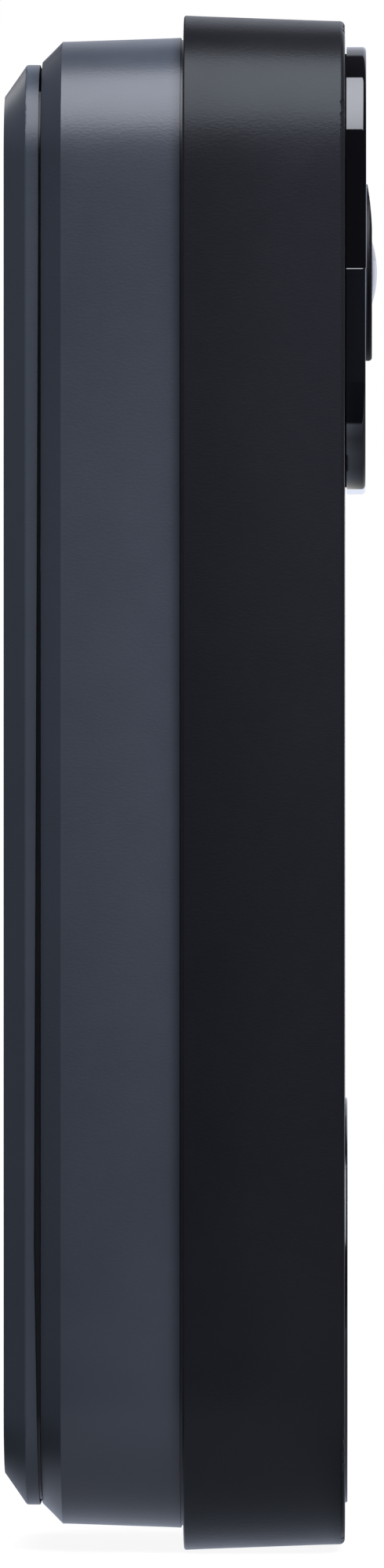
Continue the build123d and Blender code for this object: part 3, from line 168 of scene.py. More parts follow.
@dataclass(frozen=True)
class Wall:
    """A drafted wall round a plan with four round corners, shaded as one smooth form and not from its facets.

    The corners are struck about points at plus and minus across_mm and up_mm, and melt into the sides over ease_mm.
    A face that looks within same_deg of the wall's direction counts as the wall, and one past twice that doesn't.
    """

    across_mm: float
    up_mm: float
    lean_deg: float
    ease_mm: float
    same_deg: float = 6.0

    def normal(self, tree: bpy.types.NodeTree, place: bpy.types.Node) -> bpy.types.Node:
        """Works out which way the wall faces, and leaves every other face as it is.

        Args:
            tree: the material's node tree.
            place: the texture coordinates.

        Returns:
            The mix node that gives the direction.
        """
        axes = add_node(tree, "ShaderNodeSeparateXYZ", links={0: (place, "Object")})
        plan = add_node(tree, "ShaderNodeCombineXYZ")
        for axis, centre in ((Axis.X, self.across_mm), (Axis.Z, self.up_mm)):
            size = add_node(tree, "ShaderNodeMath", {"operation": "ABSOLUTE"}, {0: (axes, axis.value)})
            past = add_node(tree, "ShaderNodeMath", {"operation": "SUBTRACT", 1: centre * MM}, {0: (size, 0)})
            eased = add_node(tree, "ShaderNodeMath", {"operation": "SMOOTH_MAX", 1: 0.0, 2: self.ease_mm * MM},
                             {0: (past, 0)})
            side = add_node(tree, "ShaderNodeMath", {"operation": "SIGN"}, {0: (axes, axis.value)})
            part = add_node(tree, "ShaderNodeMath", {"operation": "MULTIPLY"}, {0: (eased, 0), 1: (side, 0)})
            tree.links.new(part.outputs[0], plan.inputs[axis.value])
        level = add_node(tree, "ShaderNodeVectorMath", {"operation": "NORMALIZE"}, {0: (plan, 0)})
        lean = (0.0, math.tan(math.radians(self.lean_deg)), 0.0)
        leaning = add_node(tree, "ShaderNodeVectorMath", {"operation": "ADD", 1: lean}, {0: (level, 0)})
        placed = add_node(tree, "ShaderNodeVectorTransform", {"vector_type": "NORMAL", "convert_from": "OBJECT",
                                                              "convert_to": "WORLD"}, {0: (leaning, 0)})
        outward = add_node(tree, "ShaderNodeVectorMath", {"operation": "NORMALIZE"}, {0: (placed, 0)})
        face = add_node(tree, "ShaderNodeNewGeometry")
        match = add_node(tree, "ShaderNodeVectorMath", {"operation": "DOT_PRODUCT"},
                         {0: (outward, 0), 1: (face, "True Normal")})
        same = add_node(tree, "ShaderNodeMapRange", {FROM_LOW: math.cos(math.radians(2 * self.same_deg)),
                                                     FROM_HIGH: math.cos(math.radians(self.same_deg))},
                        {0: (match, "Value")})
        return add_node(tree, "ShaderNodeMix", {"data_type": "VECTOR"},
                        {0: (same, 0), VECTOR_A: (face, "Normal"), VECTOR_B: (outward, 0)})


@dataclass(frozen=True)
class Finish:
    """A surface: what it is made of, and how its making shows.

    The colour drifts by a small share over patches, the gloss drifts with it, and speckle is the share that each
    finer size of patch keeps, of drift_detail sizes. The grain is a shallow relief with grain_detail finer sizes, and
    can be stretched along an axis. The crevice fields paint shade: they set how steeply the colour goes dark in gaps
    narrower than the crevice width, as shade would fall there. The tones can paint light and shade as well.
    """

    name: str
    colour: str
    roughness: float
    metallic: float = 0.0
    ior: float = 1.5
    drift: float = 0.05
    drift_mm: float = 9.0
    gloss_drift: float = 0.04
    speckle: float = 0.5
    grain_mm: float = 0.3
    grain_height_mm: float = 0.004
    stretch: tuple[float, float, float] = (1.0, 1.0, 1.0)
    tones: tuple[Tone, ...] = ()
    wall: Wall | None = None
    painted_crevice_shade: float = 0.0
    painted_crevice_shade_mm: float = 1.2
    painted_crevice_shade_rays: int = 8
    drift_detail: float = 7.0
    grain_detail: float = 2.0
    sockets: dict[str, Any] = field(default_factory=dict)

    def build(self) -> bpy.types.Material:
        """Makes the material.

        Returns:
            The material, named for what it is.
        """
        material = bpy.data.materials.new(self.name)
        material.use_nodes = True
        tree = material.node_tree
        tree.nodes.clear()
        place = add_node(tree, "ShaderNodeTexCoord")
        settings = {"Roughness": self.roughness, "Metallic": self.metallic, "IOR": self.ior}
        shader = add_node(tree, "ShaderNodeBsdfPrincipled", {**settings, **self.sockets})
        self.paint(tree, place, shader)
        self.relief(tree, place, shader)
        add_node(tree, "ShaderNodeOutputMaterial", links={"Surface": (shader, "BSDF")})
        return material

    def shade(self, strength: float) -> tuple[float, ...]:
        """Gives the colour at a strength."""
        return tuple(c * strength for c in linear(self.colour)[:3]) + (1.0,)

    def drifting(self, tree: bpy.types.NodeTree, place: bpy.types.Node, shader: bpy.types.Node) -> bpy.types.Node:
        """Lays the slow drift, and gives the shader its gloss from it.

        Args:
            tree: the material's node tree.
            place: the texture coordinates.
            shader: the surface shader.

        Returns:
            The mix node that gives the drifting colour.
        """
        cloud = add_node(tree, "ShaderNodeTexNoise", {"Scale": 1 / (self.drift_mm * MM), "Detail": self.drift_detail,
                                                      "Roughness": self.speckle}, {"Vector": (place, "Object")})
        gloss = add_node(tree, "ShaderNodeMapRange", {TO_LOW: self.roughness - self.gloss_drift,
                                                      TO_HIGH: self.roughness + self.gloss_drift},
                         {0: (cloud, "Fac")})
        tree.links.new(gloss.outputs[0], shader.inputs["Roughness"])
        return add_node(tree, "ShaderNodeMix", {"data_type": "RGBA", COLOUR_A: self.shade(1 - self.drift),
                                                COLOUR_B: self.shade(1 + self.drift)}, {0: (cloud, "Fac")})

    def paint(self, tree: bpy.types.NodeTree, place: bpy.types.Node, shader: bpy.types.Node) -> None:
        """Gives the shader its colour and gloss, with the drift, the tones, which can paint light and shade, and
        painted shade in crevices.

        Args:
            tree: the material's node tree.
            place: the texture coordinates.
            shader: the surface shader.
        """
        colour = self.drifting(tree, place, shader)
        axes = add_node(tree, "ShaderNodeSeparateXYZ", links={0: (place, "Object")})
        # The tones paint light and shade where a finish uses them so: lighter or darker towards a side, or a pale line
        for tone in self.tones:
            level = add_node(tree, "ShaderNodeMapRange",
                             {**SOFT_ENDS, FROM_LOW: tone.start_mm * MM, FROM_HIGH: tone.end_mm * MM,
                              TO_LOW: tone.start, TO_HIGH: tone.end}, {0: (axes, tone.axis.value)})
            colour = add_node(tree, "ShaderNodeMix", {"data_type": "RGBA", "blend_type": "MULTIPLY", 0: 1.0},
                              {COLOUR_A: (colour, COLOUR_OUT), COLOUR_B: (level, 0)})
        # Painted shade: the colour goes darker where the surface is hemmed in, as shade would fall in a crevice
        if self.painted_crevice_shade:
            open_share = add_node(tree, "ShaderNodeAmbientOcclusion", {"samples": self.painted_crevice_shade_rays,
                                                                       "Distance": self.painted_crevice_shade_mm * MM})
            deep = add_node(tree, "ShaderNodeMath", {"operation": "POWER", 1: self.painted_crevice_shade}, {0: (open_share, "AO")})
            colour = add_node(tree, "ShaderNodeMix", {"data_type": "RGBA", "blend_type": "MULTIPLY", 0: 1.0},
                              {COLOUR_A: (colour, COLOUR_OUT), COLOUR_B: (deep, 0)})
        tree.links.new(colour.outputs[COLOUR_OUT], shader.inputs["Base Color"])

    def relief(self, tree: bpy.types.NodeTree, place: bpy.types.Node, shader: bpy.types.Node) -> None:
        """Gives the shader its grain, over the wall's smooth form where it has one.

        Args:
            tree: the material's node tree.
            place: the texture coordinates.
            shader: the surface shader.
        """
        spread = add_node(tree, "ShaderNodeMapping", {"vector_type": "POINT", "Scale": self.stretch},
                          {"Vector": (place, "Object")})
        grain = add_node(tree, "ShaderNodeTexNoise", {"Scale": 1 / (self.grain_mm * MM), "Detail": self.grain_detail},
                         {"Vector": (spread, "Vector")})
        bump = add_node(tree, "ShaderNodeBump", {"Strength": 1.0, "Distance": self.grain_height_mm * MM},
                        {"Height": (grain, "Fac")})
        tree.links.new(bump.outputs["Normal"], shader.inputs["Normal"])
        if self.wall:
            tree.links.new(self.wall.normal(tree, place).outputs[VECTOR_OUT], bump.inputs["Normal"])


@dataclass(frozen=True)
class BoardFinish(Finish):
    """Solder mask over copper: tracks show through it as paler lines in a square maze."""

    track: str = "2f7a52"
    pitch_mm: float = 1.6
    track_share: float = 0.22

    def paint(self, tree: bpy.types.NodeTree, place: bpy.types.Node, shader: bpy.types.Node) -> None:
        """Draws the tracks over the drifting mask.

        Args:
            tree: the material's node tree.
            place: the texture coordinates.
            shader: the surface shader.
        """
        mask = self.drifting(tree, place, shader)
        second, nearest = (add_node(tree, "ShaderNodeTexVoronoi", {"distance": "CHEBYCHEV", "feature": feature,
                                                                   "Scale": 1 / (self.pitch_mm * MM)},
                                    {"Vector": (place, "Object")}) for feature in ("F2", "F1"))
        edge = add_node(tree, "ShaderNodeMath", {"operation": "SUBTRACT"},
                        {0: (second, "Distance"), 1: (nearest, "Distance")})
        line = add_node(tree, "ShaderNodeMath", {"operation": "LESS_THAN", 1: self.track_share}, {0: (edge, 0)})
        colour = add_node(tree, "ShaderNodeMix", {"data_type": "RGBA", COLOUR_B: linear(self.track)},
                          {0: (line, 0), COLOUR_A: (mask, COLOUR_OUT)})
        tree.links.new(colour.outputs[COLOUR_OUT], shader.inputs["Base Color"])


@dataclass(frozen=True)
class JacketFinish(Finish):
    """Film round a cell: a plain body, a paler band near one end and bare steel at both."""

    band: str = "a9adb0"
    steel: str = "c2c3c4"
    end_share: float = 0.035
    band_share: float = 0.2

    def paint(self, tree: bpy.types.NodeTree, place: bpy.types.Node, shader: bpy.types.Node) -> None:
        """Draws the band and the bare ends along the cell.

        Args:
            tree: the material's node tree.
            place: the texture coordinates.
            shader: the surface shader.
        """
        colour = self.drifting(tree, place, shader)
        axes = add_node(tree, "ShaderNodeSeparateXYZ", links={0: (place, "Generated")})
        band = add_node(tree, "ShaderNodeMath", {"operation": "GREATER_THAN", 1: 1 - self.band_share},
                        {0: (axes, "Z")})
        colour = add_node(tree, "ShaderNodeMix", {"data_type": "RGBA", COLOUR_B: linear(self.band)},
                          {0: (band, 0), COLOUR_A: (colour, COLOUR_OUT)})
        half = 0.5
        middle = add_node(tree, "ShaderNodeMath", {"operation": "COMPARE", 1: half, 2: half - self.end_share},
                          {0: (axes, "Z")})
        colour = add_node(tree, "ShaderNodeMix", {"data_type": "RGBA", COLOUR_A: linear(self.steel)},
                          {0: (middle, 0), COLOUR_B: (colour, COLOUR_OUT)})
        metal = add_node(tree, "ShaderNodeMath", {"operation": "SUBTRACT", 0: 1.0}, {1: (middle, 0)})
        tree.links.new(colour.outputs[COLOUR_OUT], shader.inputs["Base Color"])
        tree.links.new(metal.outputs[0], shader.inputs["Metallic"])


# Blue-grey ABS with a fine spark-eroded texture: a soft sheen with no mirror image. Such a grain is about 0.05 mm
# and is drawn at 0.17 mm, so that it shows, and longer along the depth. The tones are slow changes fitted to the
# photograph, and are painted light and shade: lighter towards the front and the middle height, darker low down and
# at the foot. Painted shade darkens it in crevices
GREY_ABS = Finish("grey_spark_textured_abs", "32363d", 0.34, ior=1.46, drift=0.1, gloss_drift=0.09, speckle=0.8,
                  grain_mm=0.17, grain_height_mm=0.01, stretch=(1.0, 0.45, 1.0),
                  tones=(Tone(Axis.Y, -3.2, -15.2, 0.92, 1.18), Tone(Axis.Z, 60.0, 5.0, 1.0, 1.22),
                         Tone(Axis.Z, 5.0, -50.0, 1.0, 0.88), Tone(Axis.Z, -44.0, -60.0, 1.0, 0.72)),
                  wall=Wall(9.5, 53.0, 1.9, 5.0), painted_crevice_shade=1.3, sockets={"Specular IOR Level": 0.46})
# The plate is the same material in one tone, and painted shade makes it darker in crevices, so that the gap to the
# case shows
GREY_PLATE_ABS = Finish("grey_spark_textured_abs_plate", "373c43", 0.36, ior=1.46, drift=0.1, gloss_drift=0.09,
                        speckle=0.8, grain_mm=0.17, grain_height_mm=0.01, stretch=(1.0, 0.45, 1.0), painted_crevice_shade=2.6,
                        sockets={"Specular IOR Level": 0.34})
# Black ABS with the same texture, a little coarser: a dimmer sheen, with slow tones as in the grey. The tones are
# painted light and shade: darker at the top, near the back, low down and at the foot
BLACK_ABS = Finish("black_spark_textured_abs", "1f1f23", 0.325, ior=1.46, drift=0.1, gloss_drift=0.1, speckle=0.8,
                   grain_mm=0.18, grain_height_mm=0.012, stretch=(1.0, 0.45, 1.0),
                   tones=(Tone(Axis.Y, -15.2, -26.0, 0.8, 1.12), Tone(Axis.Z, 66.0, 53.0, 0.35, 1.0),
                          Tone(Axis.Z, 40.0, -20.0, 1.05, 0.82), Tone(Axis.Z, -44.0, -60.0, 1.0, 0.75)),
                   wall=Wall(9.5, 53.0, -2.1, 6.5),
                   sockets={"Specular IOR Level": 0.178, "Specular Tint": (0.92, 1.0, 1.0, 1.0)})
# The button's cap is black ABS from a finer mould
BUTTON_ABS = Finish("black_fine_textured_abs", "141518", 0.42, ior=1.46, grain_mm=0.3, grain_height_mm=0.003,
                    sockets={"Specular IOR Level": 0.3})
# Black polycarbonate from a polished mould: a mirror image over a nearly black body, darker still above its split
WINDOW_PC = Finish("polished_black_polycarbonate", "0c0d11", 0.03, ior=1.585, gloss_drift=0.01, grain_mm=6.0,
                   grain_height_mm=0.0006, tones=(Tone(Axis.Z, 43.2, 43.3, 1.0, 0.3),))
# Black polycarbonate trim from a blasted mould: dark, with a faint sheen
PLAIN_PC = Finish("blasted_black_polycarbonate_plain", "0e0f12", 0.46, ior=1.58, grain_height_mm=0.002,
                  sockets={"Specular IOR Level": 0.2})
# The bezel is the same trim, with a painted highlight: a pale line where its foot meets the window; on black that
# takes a strong tone
TRIM_PC_PAINTED_HIGHLIGHT = Finish("blasted_black_polycarbonate", "0e0f12", 0.46, ior=1.58, grain_height_mm=0.002,
                 tones=(Tone(Axis.Y, -30.58, -30.7, 45.0, 1.0),), sockets={"Specular IOR Level": 0.2})
# Smoked polycarbonate light guide: black until its lamps are lit, with a clean edge
SMOKED_PC = Finish("smoked_polycarbonate_light_guide", "101115", 0.14, ior=1.585, gloss_drift=0.03, grain_mm=2.0,
                   grain_height_mm=0.0008)
# Ground glass with a lavender coating: pale against the light, with a clean gloss
COATED_GLASS = Finish("lavender_coated_optical_glass", "9d9db2", 0.02, ior=1.52, drift=0.01, gloss_drift=0.01,
                      grain_mm=5.0, grain_height_mm=0.0002,
                      sockets={"Transmission Weight": 1.0, "Coat Weight": 0.3, "Coat Roughness": 0.03})
# Turned aluminium, anodised black: fine rings from the tool under a dull black film
BLACK_ANODISED = Finish("black_anodised_turned_aluminium", "1d1d20", 0.38, metallic=1.0, grain_mm=0.3,
                        grain_height_mm=0.003, stretch=(0.15, 1.0, 0.15))
# Zinc-plated steel: bright grey with a faint blue cast and cloudy gloss
ZINC_STEEL = Finish("zinc_plated_steel", "b4b8be", 0.3, metallic=1.0, drift=0.08, drift_mm=1.5, gloss_drift=0.08,
                    grain_mm=0.25, grain_height_mm=0.002)
# Rolled and nickel-plated spring steel: warm bright grey, with lines from rolling
NICKEL_STEEL = Finish("nickel_plated_spring_steel", "c9c4ba", 0.24, metallic=1.0, grain_mm=0.2,
                      grain_height_mm=0.0015, stretch=(1.0, 1.0, 0.1))
# Rolled brass strip: yellow metal, a little dulled by handling
BRASS_STRIP = Finish("rolled_brass_strip", "c29a52", 0.3, metallic=1.0, drift=0.1, drift_mm=2.0, gloss_drift=0.08,
                     grain_mm=0.2, grain_height_mm=0.0015, stretch=(0.1, 1.0, 1.0))
# Tinned sheet, pressed into a can: pale grey with a soft grain
TINNED_SHEET = Finish("tinned_pressed_sheet", "c0c3c6", 0.36, metallic=1.0, drift=0.07, drift_mm=3.0,
                      gloss_drift=0.07, grain_mm=0.35, grain_height_mm=0.002, stretch=(1.0, 1.0, 0.2))
# Glass laminate under green solder mask: a glossy lacquer with tracks below it
SOLDER_MASK = BoardFinish("solder_masked_glass_laminate", "17492f", 0.3, ior=1.5, drift=0.08, drift_mm=4.0,
                          grain_mm=0.5, grain_height_mm=0.002)
# Moulded epoxy chip: flat dark grey, finely pitted
CHIP_EPOXY = Finish("moulded_epoxy_package", "1b1b1d", 0.62, grain_mm=0.2, grain_height_mm=0.006)
# Moulded nylon connector: warm white, slightly waxy
NYLON = Finish("moulded_natural_nylon", "d3ccb8", 0.48, ior=1.53, grain_height_mm=0.003,
               sockets={"Subsurface Weight": 0.1, "Subsurface Scale": 0.0005})
# Polyimide film over copper: amber, with a silky gloss
POLYIMIDE = Finish("polyimide_flat_cable", "a4671f", 0.32, ior=1.7, drift=0.08, drift_mm=1.0, grain_mm=0.5,
                   grain_height_mm=0.003, stretch=(1.0, 0.1, 0.1))
# Cast clear resin over a phosphor: pale yellow with a clean gloss
LAMP_RESIN = Finish("cast_phosphor_lamp_resin", "e4dfb8", 0.15, ior=1.54, grain_height_mm=0.001)
# Cast infrared resin: almost black, with a red-violet cast and a clean gloss
IR_RESIN = Finish("cast_infrared_lamp_resin", "1f1722", 0.12, ior=1.54, grain_height_mm=0.001)
# Moulded silicone, filled black: a soft dull surface
SEAL_SILICONE = Finish("moulded_black_silicone", "212225", 0.68, ior=1.41, grain_mm=0.4, grain_height_mm=0.006)
# Moulded silicone, unfilled: milky grey and a little translucent
CLEAR_SILICONE = Finish("moulded_milky_silicone", "b1b4b8", 0.5, ior=1.41, grain_height_mm=0.003,
                        sockets={"Subsurface Weight": 0.25, "Subsurface Scale": 0.001})
# Closed-cell foam: dull black with open pores. The pores are 0.1 mm and are drawn at 0.4 mm
FOAM = Finish("closed_cell_foam", "1a1a1c", 0.85, ior=1.4, grain_mm=0.4, grain_height_mm=0.06)
# Acrylic foam tape: dull black, with a fine skin
TAPE = Finish("acrylic_foam_tape", "141416", 0.8, ior=1.45, grain_mm=0.3, grain_height_mm=0.015)
# Moulded acetal: dark and slippery, with a low even gloss
ACETAL = Finish("moulded_black_acetal", "25272c", 0.4, ior=1.48, grain_height_mm=0.003)
# Moulded speaker box with a pressed paper cone: dull black with short fibres
SPEAKER_BOX = Finish("moulded_speaker_box", "18181a", 0.66, grain_mm=0.5, grain_height_mm=0.01,
                     stretch=(0.4, 1.0, 1.0))
# Moulded switch body in glass-filled nylon
SWITCH_BODY = Finish("glass_filled_nylon_switch", "29292c", 0.56, ior=1.53, grain_mm=0.25, grain_height_mm=0.006)
# Shrunk film over a steel can: glossy dark teal, a pale band and bare steel at the ends
CELL_FILM = JacketFinish("shrunk_film_over_steel_can", "244652", 0.22, ior=1.55, gloss_drift=0.05, grain_mm=1.5,
                         grain_height_mm=0.004, stretch=(1.0, 1.0, 0.3))


def solid_boxes(node: str) -> list[tuple[Vector, Vector]]:
    """Finds the box of each separate solid in a CAD node.

    Args:
        node: name of the node.

    Returns:
        Lowest and highest corner of each solid.
    """
    work = bmesh.new()
    work.from_mesh(frame["nodes"][node].data)
    bmesh.ops.remove_doubles(work, verts=work.verts, dist=SEAM)
    boxes = []
    seen: set[bmesh.types.BMVert] = set()
    for first in work.verts:
        if first in seen:
            continue
        seen.add(first)
        island, waiting = [], [first]
        while waiting:
            vert = waiting.pop()
            island.append(vert.co.copy())
            nearby = {edge.other_vert(vert) for edge in vert.link_edges} - seen
            seen |= nearby
            waiting.extend(nearby)
        sides = list(zip(*island))
        boxes.append((Vector([min(side) for side in sides]), Vector([max(side) for side in sides])))
    work.free()
    return boxes


def turned(outline: list[tuple[float, float]], around: int) -> bmesh.types.BMesh:
    """Turns an outline that starts and ends on the axis, which runs along -Y from the origin.

    Args:
        outline: radius and distance along the axis.
        around: how many steps the turn has.

    Returns:
        The closed mesh.
    """
    work = bmesh.new()
    rings = []
    for radius, along in outline:
        count = around if radius else 1
        angles = [2 * math.pi * step / count for step in range(count)]
        rings.append([work.verts.new((radius * math.cos(a), -along, radius * math.sin(a))) for a in angles])
    for near, far in zip(rings, rings[1:]):
        for step in range(around):
            corners = [near[step % len(near)], near[(step + 1) % len(near)],
                       far[(step + 1) % len(far)], far[step % len(far)]]
            work.faces.new(list(dict.fromkeys(corners)))
    bmesh.ops.recalc_face_normals(work, faces=work.faces)
    return work


def stand_in(work: bmesh.types.BMesh, node: str, kind: str, finish: Finish,
             sharp_deg: float) -> bpy.types.Object:
    """Makes a mesh into a piece that rides on the case in the place of a CAD node.

    Args:
        work: the mesh, which is freed.
        node: the node that the piece stands for.
        kind: what it is, as the end of its name.
        finish: its surface.
        sharp_deg: edges that bend further than this stay sharp.

    Returns:
        The piece.
    """
    mesh = bpy.data.meshes.new(f"{node}_{kind}")
    work.to_mesh(mesh)
    work.free()
    mesh.materials.append(finish.build())
    mesh.shade_smooth()
    mesh.set_sharp_from_angle(angle=math.radians(sharp_deg))
    piece = bpy.data.objects.new(mesh.name, mesh)
    bpy.context.scene.collection.objects.link(piece)
    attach(piece, Body.CASE.value)
    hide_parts(node)
    return piece


@dataclass
class CrossScrew:
    """Thread-forming pan-head screw with a cross recess, standing in for a plain CAD screw.

    The crown's curve gives points in from the rim and down from the top, in crowns, and its foot is eased by a share
    of one. A turn of the thread rises and crests at shares of the pitch. Each screw is driven further round by twist.
    """

    head_mm: float
    head_height_mm: float
    shank_mm: float
    recess_mm: float
    recess_width_mm: float
    recess_depth_mm: float
    pitch_mm: float = 0.7
    thread_mm: float = 0.16
    point_mm: float = 0.5
    crown_mm: float = 0.22
    flat_share: float = 0.55
    crown_curve: tuple[tuple[float, float], ...] = ((2.0, 0.15), (0.6, 0.6), (0.0, 1.8))
    foot_share: float = 0.3
    rise_share: float = 0.3
    crest_share: float = 0.65
    tip_share: float = 0.35
    recess_taper: float = 0.45
    twist: float = 0.4
    sharp_deg: float = 32.0
    around: int = 32

    def profile(self, length: float) -> list[tuple[float, float]]:
        """Draws half of the screw's outline.

        Args:
            length: whole length of the screw.

        Returns:
            Radius and distance from the top of the head, from the middle of the head to the point.
        """
        head, tall, crown = self.head_mm * MM / 2, self.head_height_mm * MM, self.crown_mm * MM
        crest = self.shank_mm * MM / 2
        root = crest - self.thread_mm * MM
        foot, pitch = crown * self.foot_share, self.pitch_mm * MM
        points = [(0.0, 0.0), (head * self.flat_share, 0.0)]
        points += [(head - inward * crown, down * crown) for inward, down in self.crown_curve]
        points += [(head, tall - foot), (head - foot, tall), (root, tall)]
        end = length - self.point_mm * MM
        for turn in range(int((end - tall) / pitch)):
            start = tall + turn * pitch
            points += [(root, start + pitch * self.rise_share), (crest, start + pitch * self.crest_share),
                       (root, start + pitch)]
        return points + [(root, end), (root * self.tip_share, length), (0.0, length)]

    def recess(self) -> bmesh.types.BMesh:
        """Makes the tapered cross that is cut into the head.

        Returns:
            The closed mesh.
        """
        work = bmesh.new()
        span, width, deep = self.recess_mm * MM / 2, self.recess_width_mm * MM / 2, self.recess_depth_mm * MM
        outer = [(span, width), (width, width), (width, span)]
        ring = [(x * turn_x - z * turn_z, x * turn_z + z * turn_x)
                for turn_x, turn_z in ((1, 0), (0, 1), (-1, 0), (0, -1)) for x, z in outer]
        top = [work.verts.new((x, deep, z)) for x, z in ring]
        low = [work.verts.new((x * self.recess_taper, -deep, z * self.recess_taper)) for x, z in ring]
        work.faces.new(top)
        work.faces.new(low[::-1])
        for step in range(len(ring)):
            ahead = (step + 1) % len(ring)
            work.faces.new((top[step], low[step], low[ahead], top[ahead]))
        bmesh.ops.recalc_face_normals(work, faces=work.faces)
        return work

    def one(self, length: float) -> bpy.types.Mesh:
        """Makes one screw with its recess cut.

        Args:
            length: whole length of the screw.

        Returns:
            The mesh, with the top of its head at the origin and its point along -Y.
        """
        objects = []
        for name, work in (("screw_body", turned(self.profile(length), self.around)), ("screw_recess", self.recess())):
            mesh = bpy.data.meshes.new(name)
            work.to_mesh(mesh)
            work.free()
            objects.append(bpy.data.objects.new(name, mesh))
            bpy.context.scene.collection.objects.link(objects[-1])
        body, cutter = objects
        cut = body.modifiers.new("recess", "BOOLEAN")
        cut.operation = "DIFFERENCE"
        cut.solver = "EXACT"
        cut.object = cutter
        graph = bpy.context.evaluated_depsgraph_get()
        made = bpy.data.meshes.new_from_object(body.evaluated_get(graph))
        for obj in objects:
            bpy.data.objects.remove(obj)
        return made

    def stand_for(self, node: str, way: Way, slot: str) -> None:
        """Puts a screw in the place of each solid of a CAD node.

        Args:
            node: the node whose plain screws it stands for.
            way: the direction that the heads look in.
            slot: the record's material slot; not used.
        """
        boxes = solid_boxes(node)
        work = bmesh.new()
        source = self.one(boxes[0][1].y - boxes[0][0].y)
        for number, (low, high) in enumerate(boxes):
            middle = (low + high) / 2
            top = high.y if way is Way.BACK else low.y
            half_turn = Matrix.Rotation(0.0 if way is Way.BACK else math.pi, 4, "Z")
            driven = Matrix.Rotation(self.twist * number, 4, "Y")
            count = len(work.verts)
            work.from_mesh(source)
            work.verts.ensure_lookup_table()
            move = Matrix.Translation((middle.x, top, middle.z)) @ half_turn @ driven
            bmesh.ops.transform(work, matrix=move, verts=work.verts[count:])
        piece = stand_in(work, node, "cross_recess", ZINC_STEEL, self.sharp_deg)
        log.info("%s: %d screws stand for %s", piece.name, len(boxes), node)


@dataclass(frozen=True)
class KeyDome:
    """Thin silicone dome on a sheet under the button's stem, built as it stands at rest."""

    pad_mm: float = 3.1
    inside_mm: float = 2.85
    cone_mm: float = 6.0
    hollow_mm: float = 5.6
    sheet_mm: float = 0.6
    web_mm: float = 0.2
    round_mm: float = 0.15
    rim_share: float = 0.6
    keep: float = 0.62
    sharp_deg: float = 40.0
    around: int = 48

    def outline(self, height: float, foot: float) -> list[tuple[float, float]]:
        """Draws half of the dome's section.

        Args:
            height: from the board to the top of the dome.
            foot: radius of the sheet.

        Returns:
            Radius and height, over the top and back along the inside.
        """
        pad, cone, sheet, ease = (size * MM for size in (self.pad_mm, self.cone_mm, self.sheet_mm, self.round_mm))
        under = height - self.web_mm * MM
        return [(0.0, height), (pad - 2 * ease, height), (pad, height - self.rim_share * ease),
                (cone - 2 * ease, sheet + ease), (cone + 2 * ease, sheet), (foot - ease, sheet),
                (foot, sheet - ease), (foot, 0.0), (self.hollow_mm * MM, 0.0), (self.inside_mm * MM, under),
                (0.0, under)]

    def stand_for(self, node: str, joint: str, finish: Finish, slot: str) -> None:
        """Puts the dome in the place of a CAD node.

        Args:
            node: the node that it stands for.
            joint: the joint that presses it, along the depth; not used.
            finish: its surface.
            slot: the record's material slot; not used.
        """
        low, high = (Vector(corner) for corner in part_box(node))
        middle = (low + high) / 2
        work = turned(self.outline(high.y - low.y, (high.x - low.x) / 2), self.around)
        bmesh.ops.translate(work, vec=(middle.x, high.y, middle.z), verts=work.verts)
        piece = stand_in(work, node, "key_dome", finish, self.sharp_deg)
        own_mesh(piece)
        log.info("%s: one dome stands for %s", piece.name, node)


@dataclass(frozen=True)
class Shading:
    """Shading that runs unbroken over edges flatter than an angle, led by the larger face; no shape changes."""

    angle_deg: float = 24.0
    join_mm: float = 0.0001

    def group(self) -> bpy.types.NodeTree:
        """Makes the nodes that join the faces' seams and mark the sharp edges.

        Returns:
            The geometry node group.
        """
        name = "shading_by_angle"
        if name in bpy.data.node_groups:
            return bpy.data.node_groups[name]
        tree = bpy.data.node_groups.new(name, "GeometryNodeTree")
        for way in ("INPUT", "OUTPUT"):
            tree.interface.new_socket("Geometry", in_out=way, socket_type="NodeSocketGeometry")
        source = add_node(tree, "NodeGroupInput")
        joined = add_node(tree, "GeometryNodeMergeByDistance", {"Distance": self.join_mm * MM}, {0: (source, 0)})
        plain = add_node(tree, "GeometryNodeRemoveAttribute", {"Name": "custom_normal"}, {0: (joined, 0)})
        smooth = add_node(tree, "GeometryNodeSetShadeSmooth", {"domain": "FACE", "Shade Smooth": True},
                          {0: (plain, 0)})
        bend = add_node(tree, "GeometryNodeInputMeshEdgeAngle")
        flat = add_node(tree, "FunctionNodeCompare", {"data_type": "FLOAT", "operation": "LESS_THAN",
                                                      1: math.radians(self.angle_deg)}, {0: (bend, 0)})
        marked = add_node(tree, "GeometryNodeSetShadeSmooth", {"domain": "EDGE"},
                          {0: (smooth, 0), "Shade Smooth": (flat, 0)})
        add_node(tree, "NodeGroupOutput", links={0: (marked, 0)})
        return tree

    def give(self, obj: bpy.types.Object) -> None:
        """Adds the two modifiers to an object.

        Args:
            obj: the CAD object, whose mesh stays as it is.
        """
        obj.modifiers.new("shading", "NODES").node_group = self.group()
        weighted = obj.modifiers.new("larger_face_leads", "WEIGHTED_NORMAL")
        weighted.mode = "FACE_AREA_WITH_ANGLE"
        weighted.keep_sharp = True


class SubAssembly:
    """Pieces that belong together: it dresses its CAD nodes, and a kind with pieces of its own builds them."""

    finishes: dict[str, Finish] = {}

    def build(self) -> None:
        """Builds the pieces that the solids leave plain."""

    def dress(self) -> None:
        """Puts each finish on its CAD nodes."""
        made: dict[str, bpy.types.Material] = {}
        for node, finish in self.finishes.items():
            if finish.name not in made:
                made[finish.name] = finish.build()
            obj = frame["nodes"][node]
            obj.data.materials.clear()
            obj.data.materials.append(made[finish.name])
            Shading().give(obj)
            log.info("dressed %s in %s", node, finish.name)


@dataclass
class WallPlate(SubAssembly):
    """Bevelled plate on the wall."""

    finishes = {"mounting_plate": GREY_PLATE_ABS}


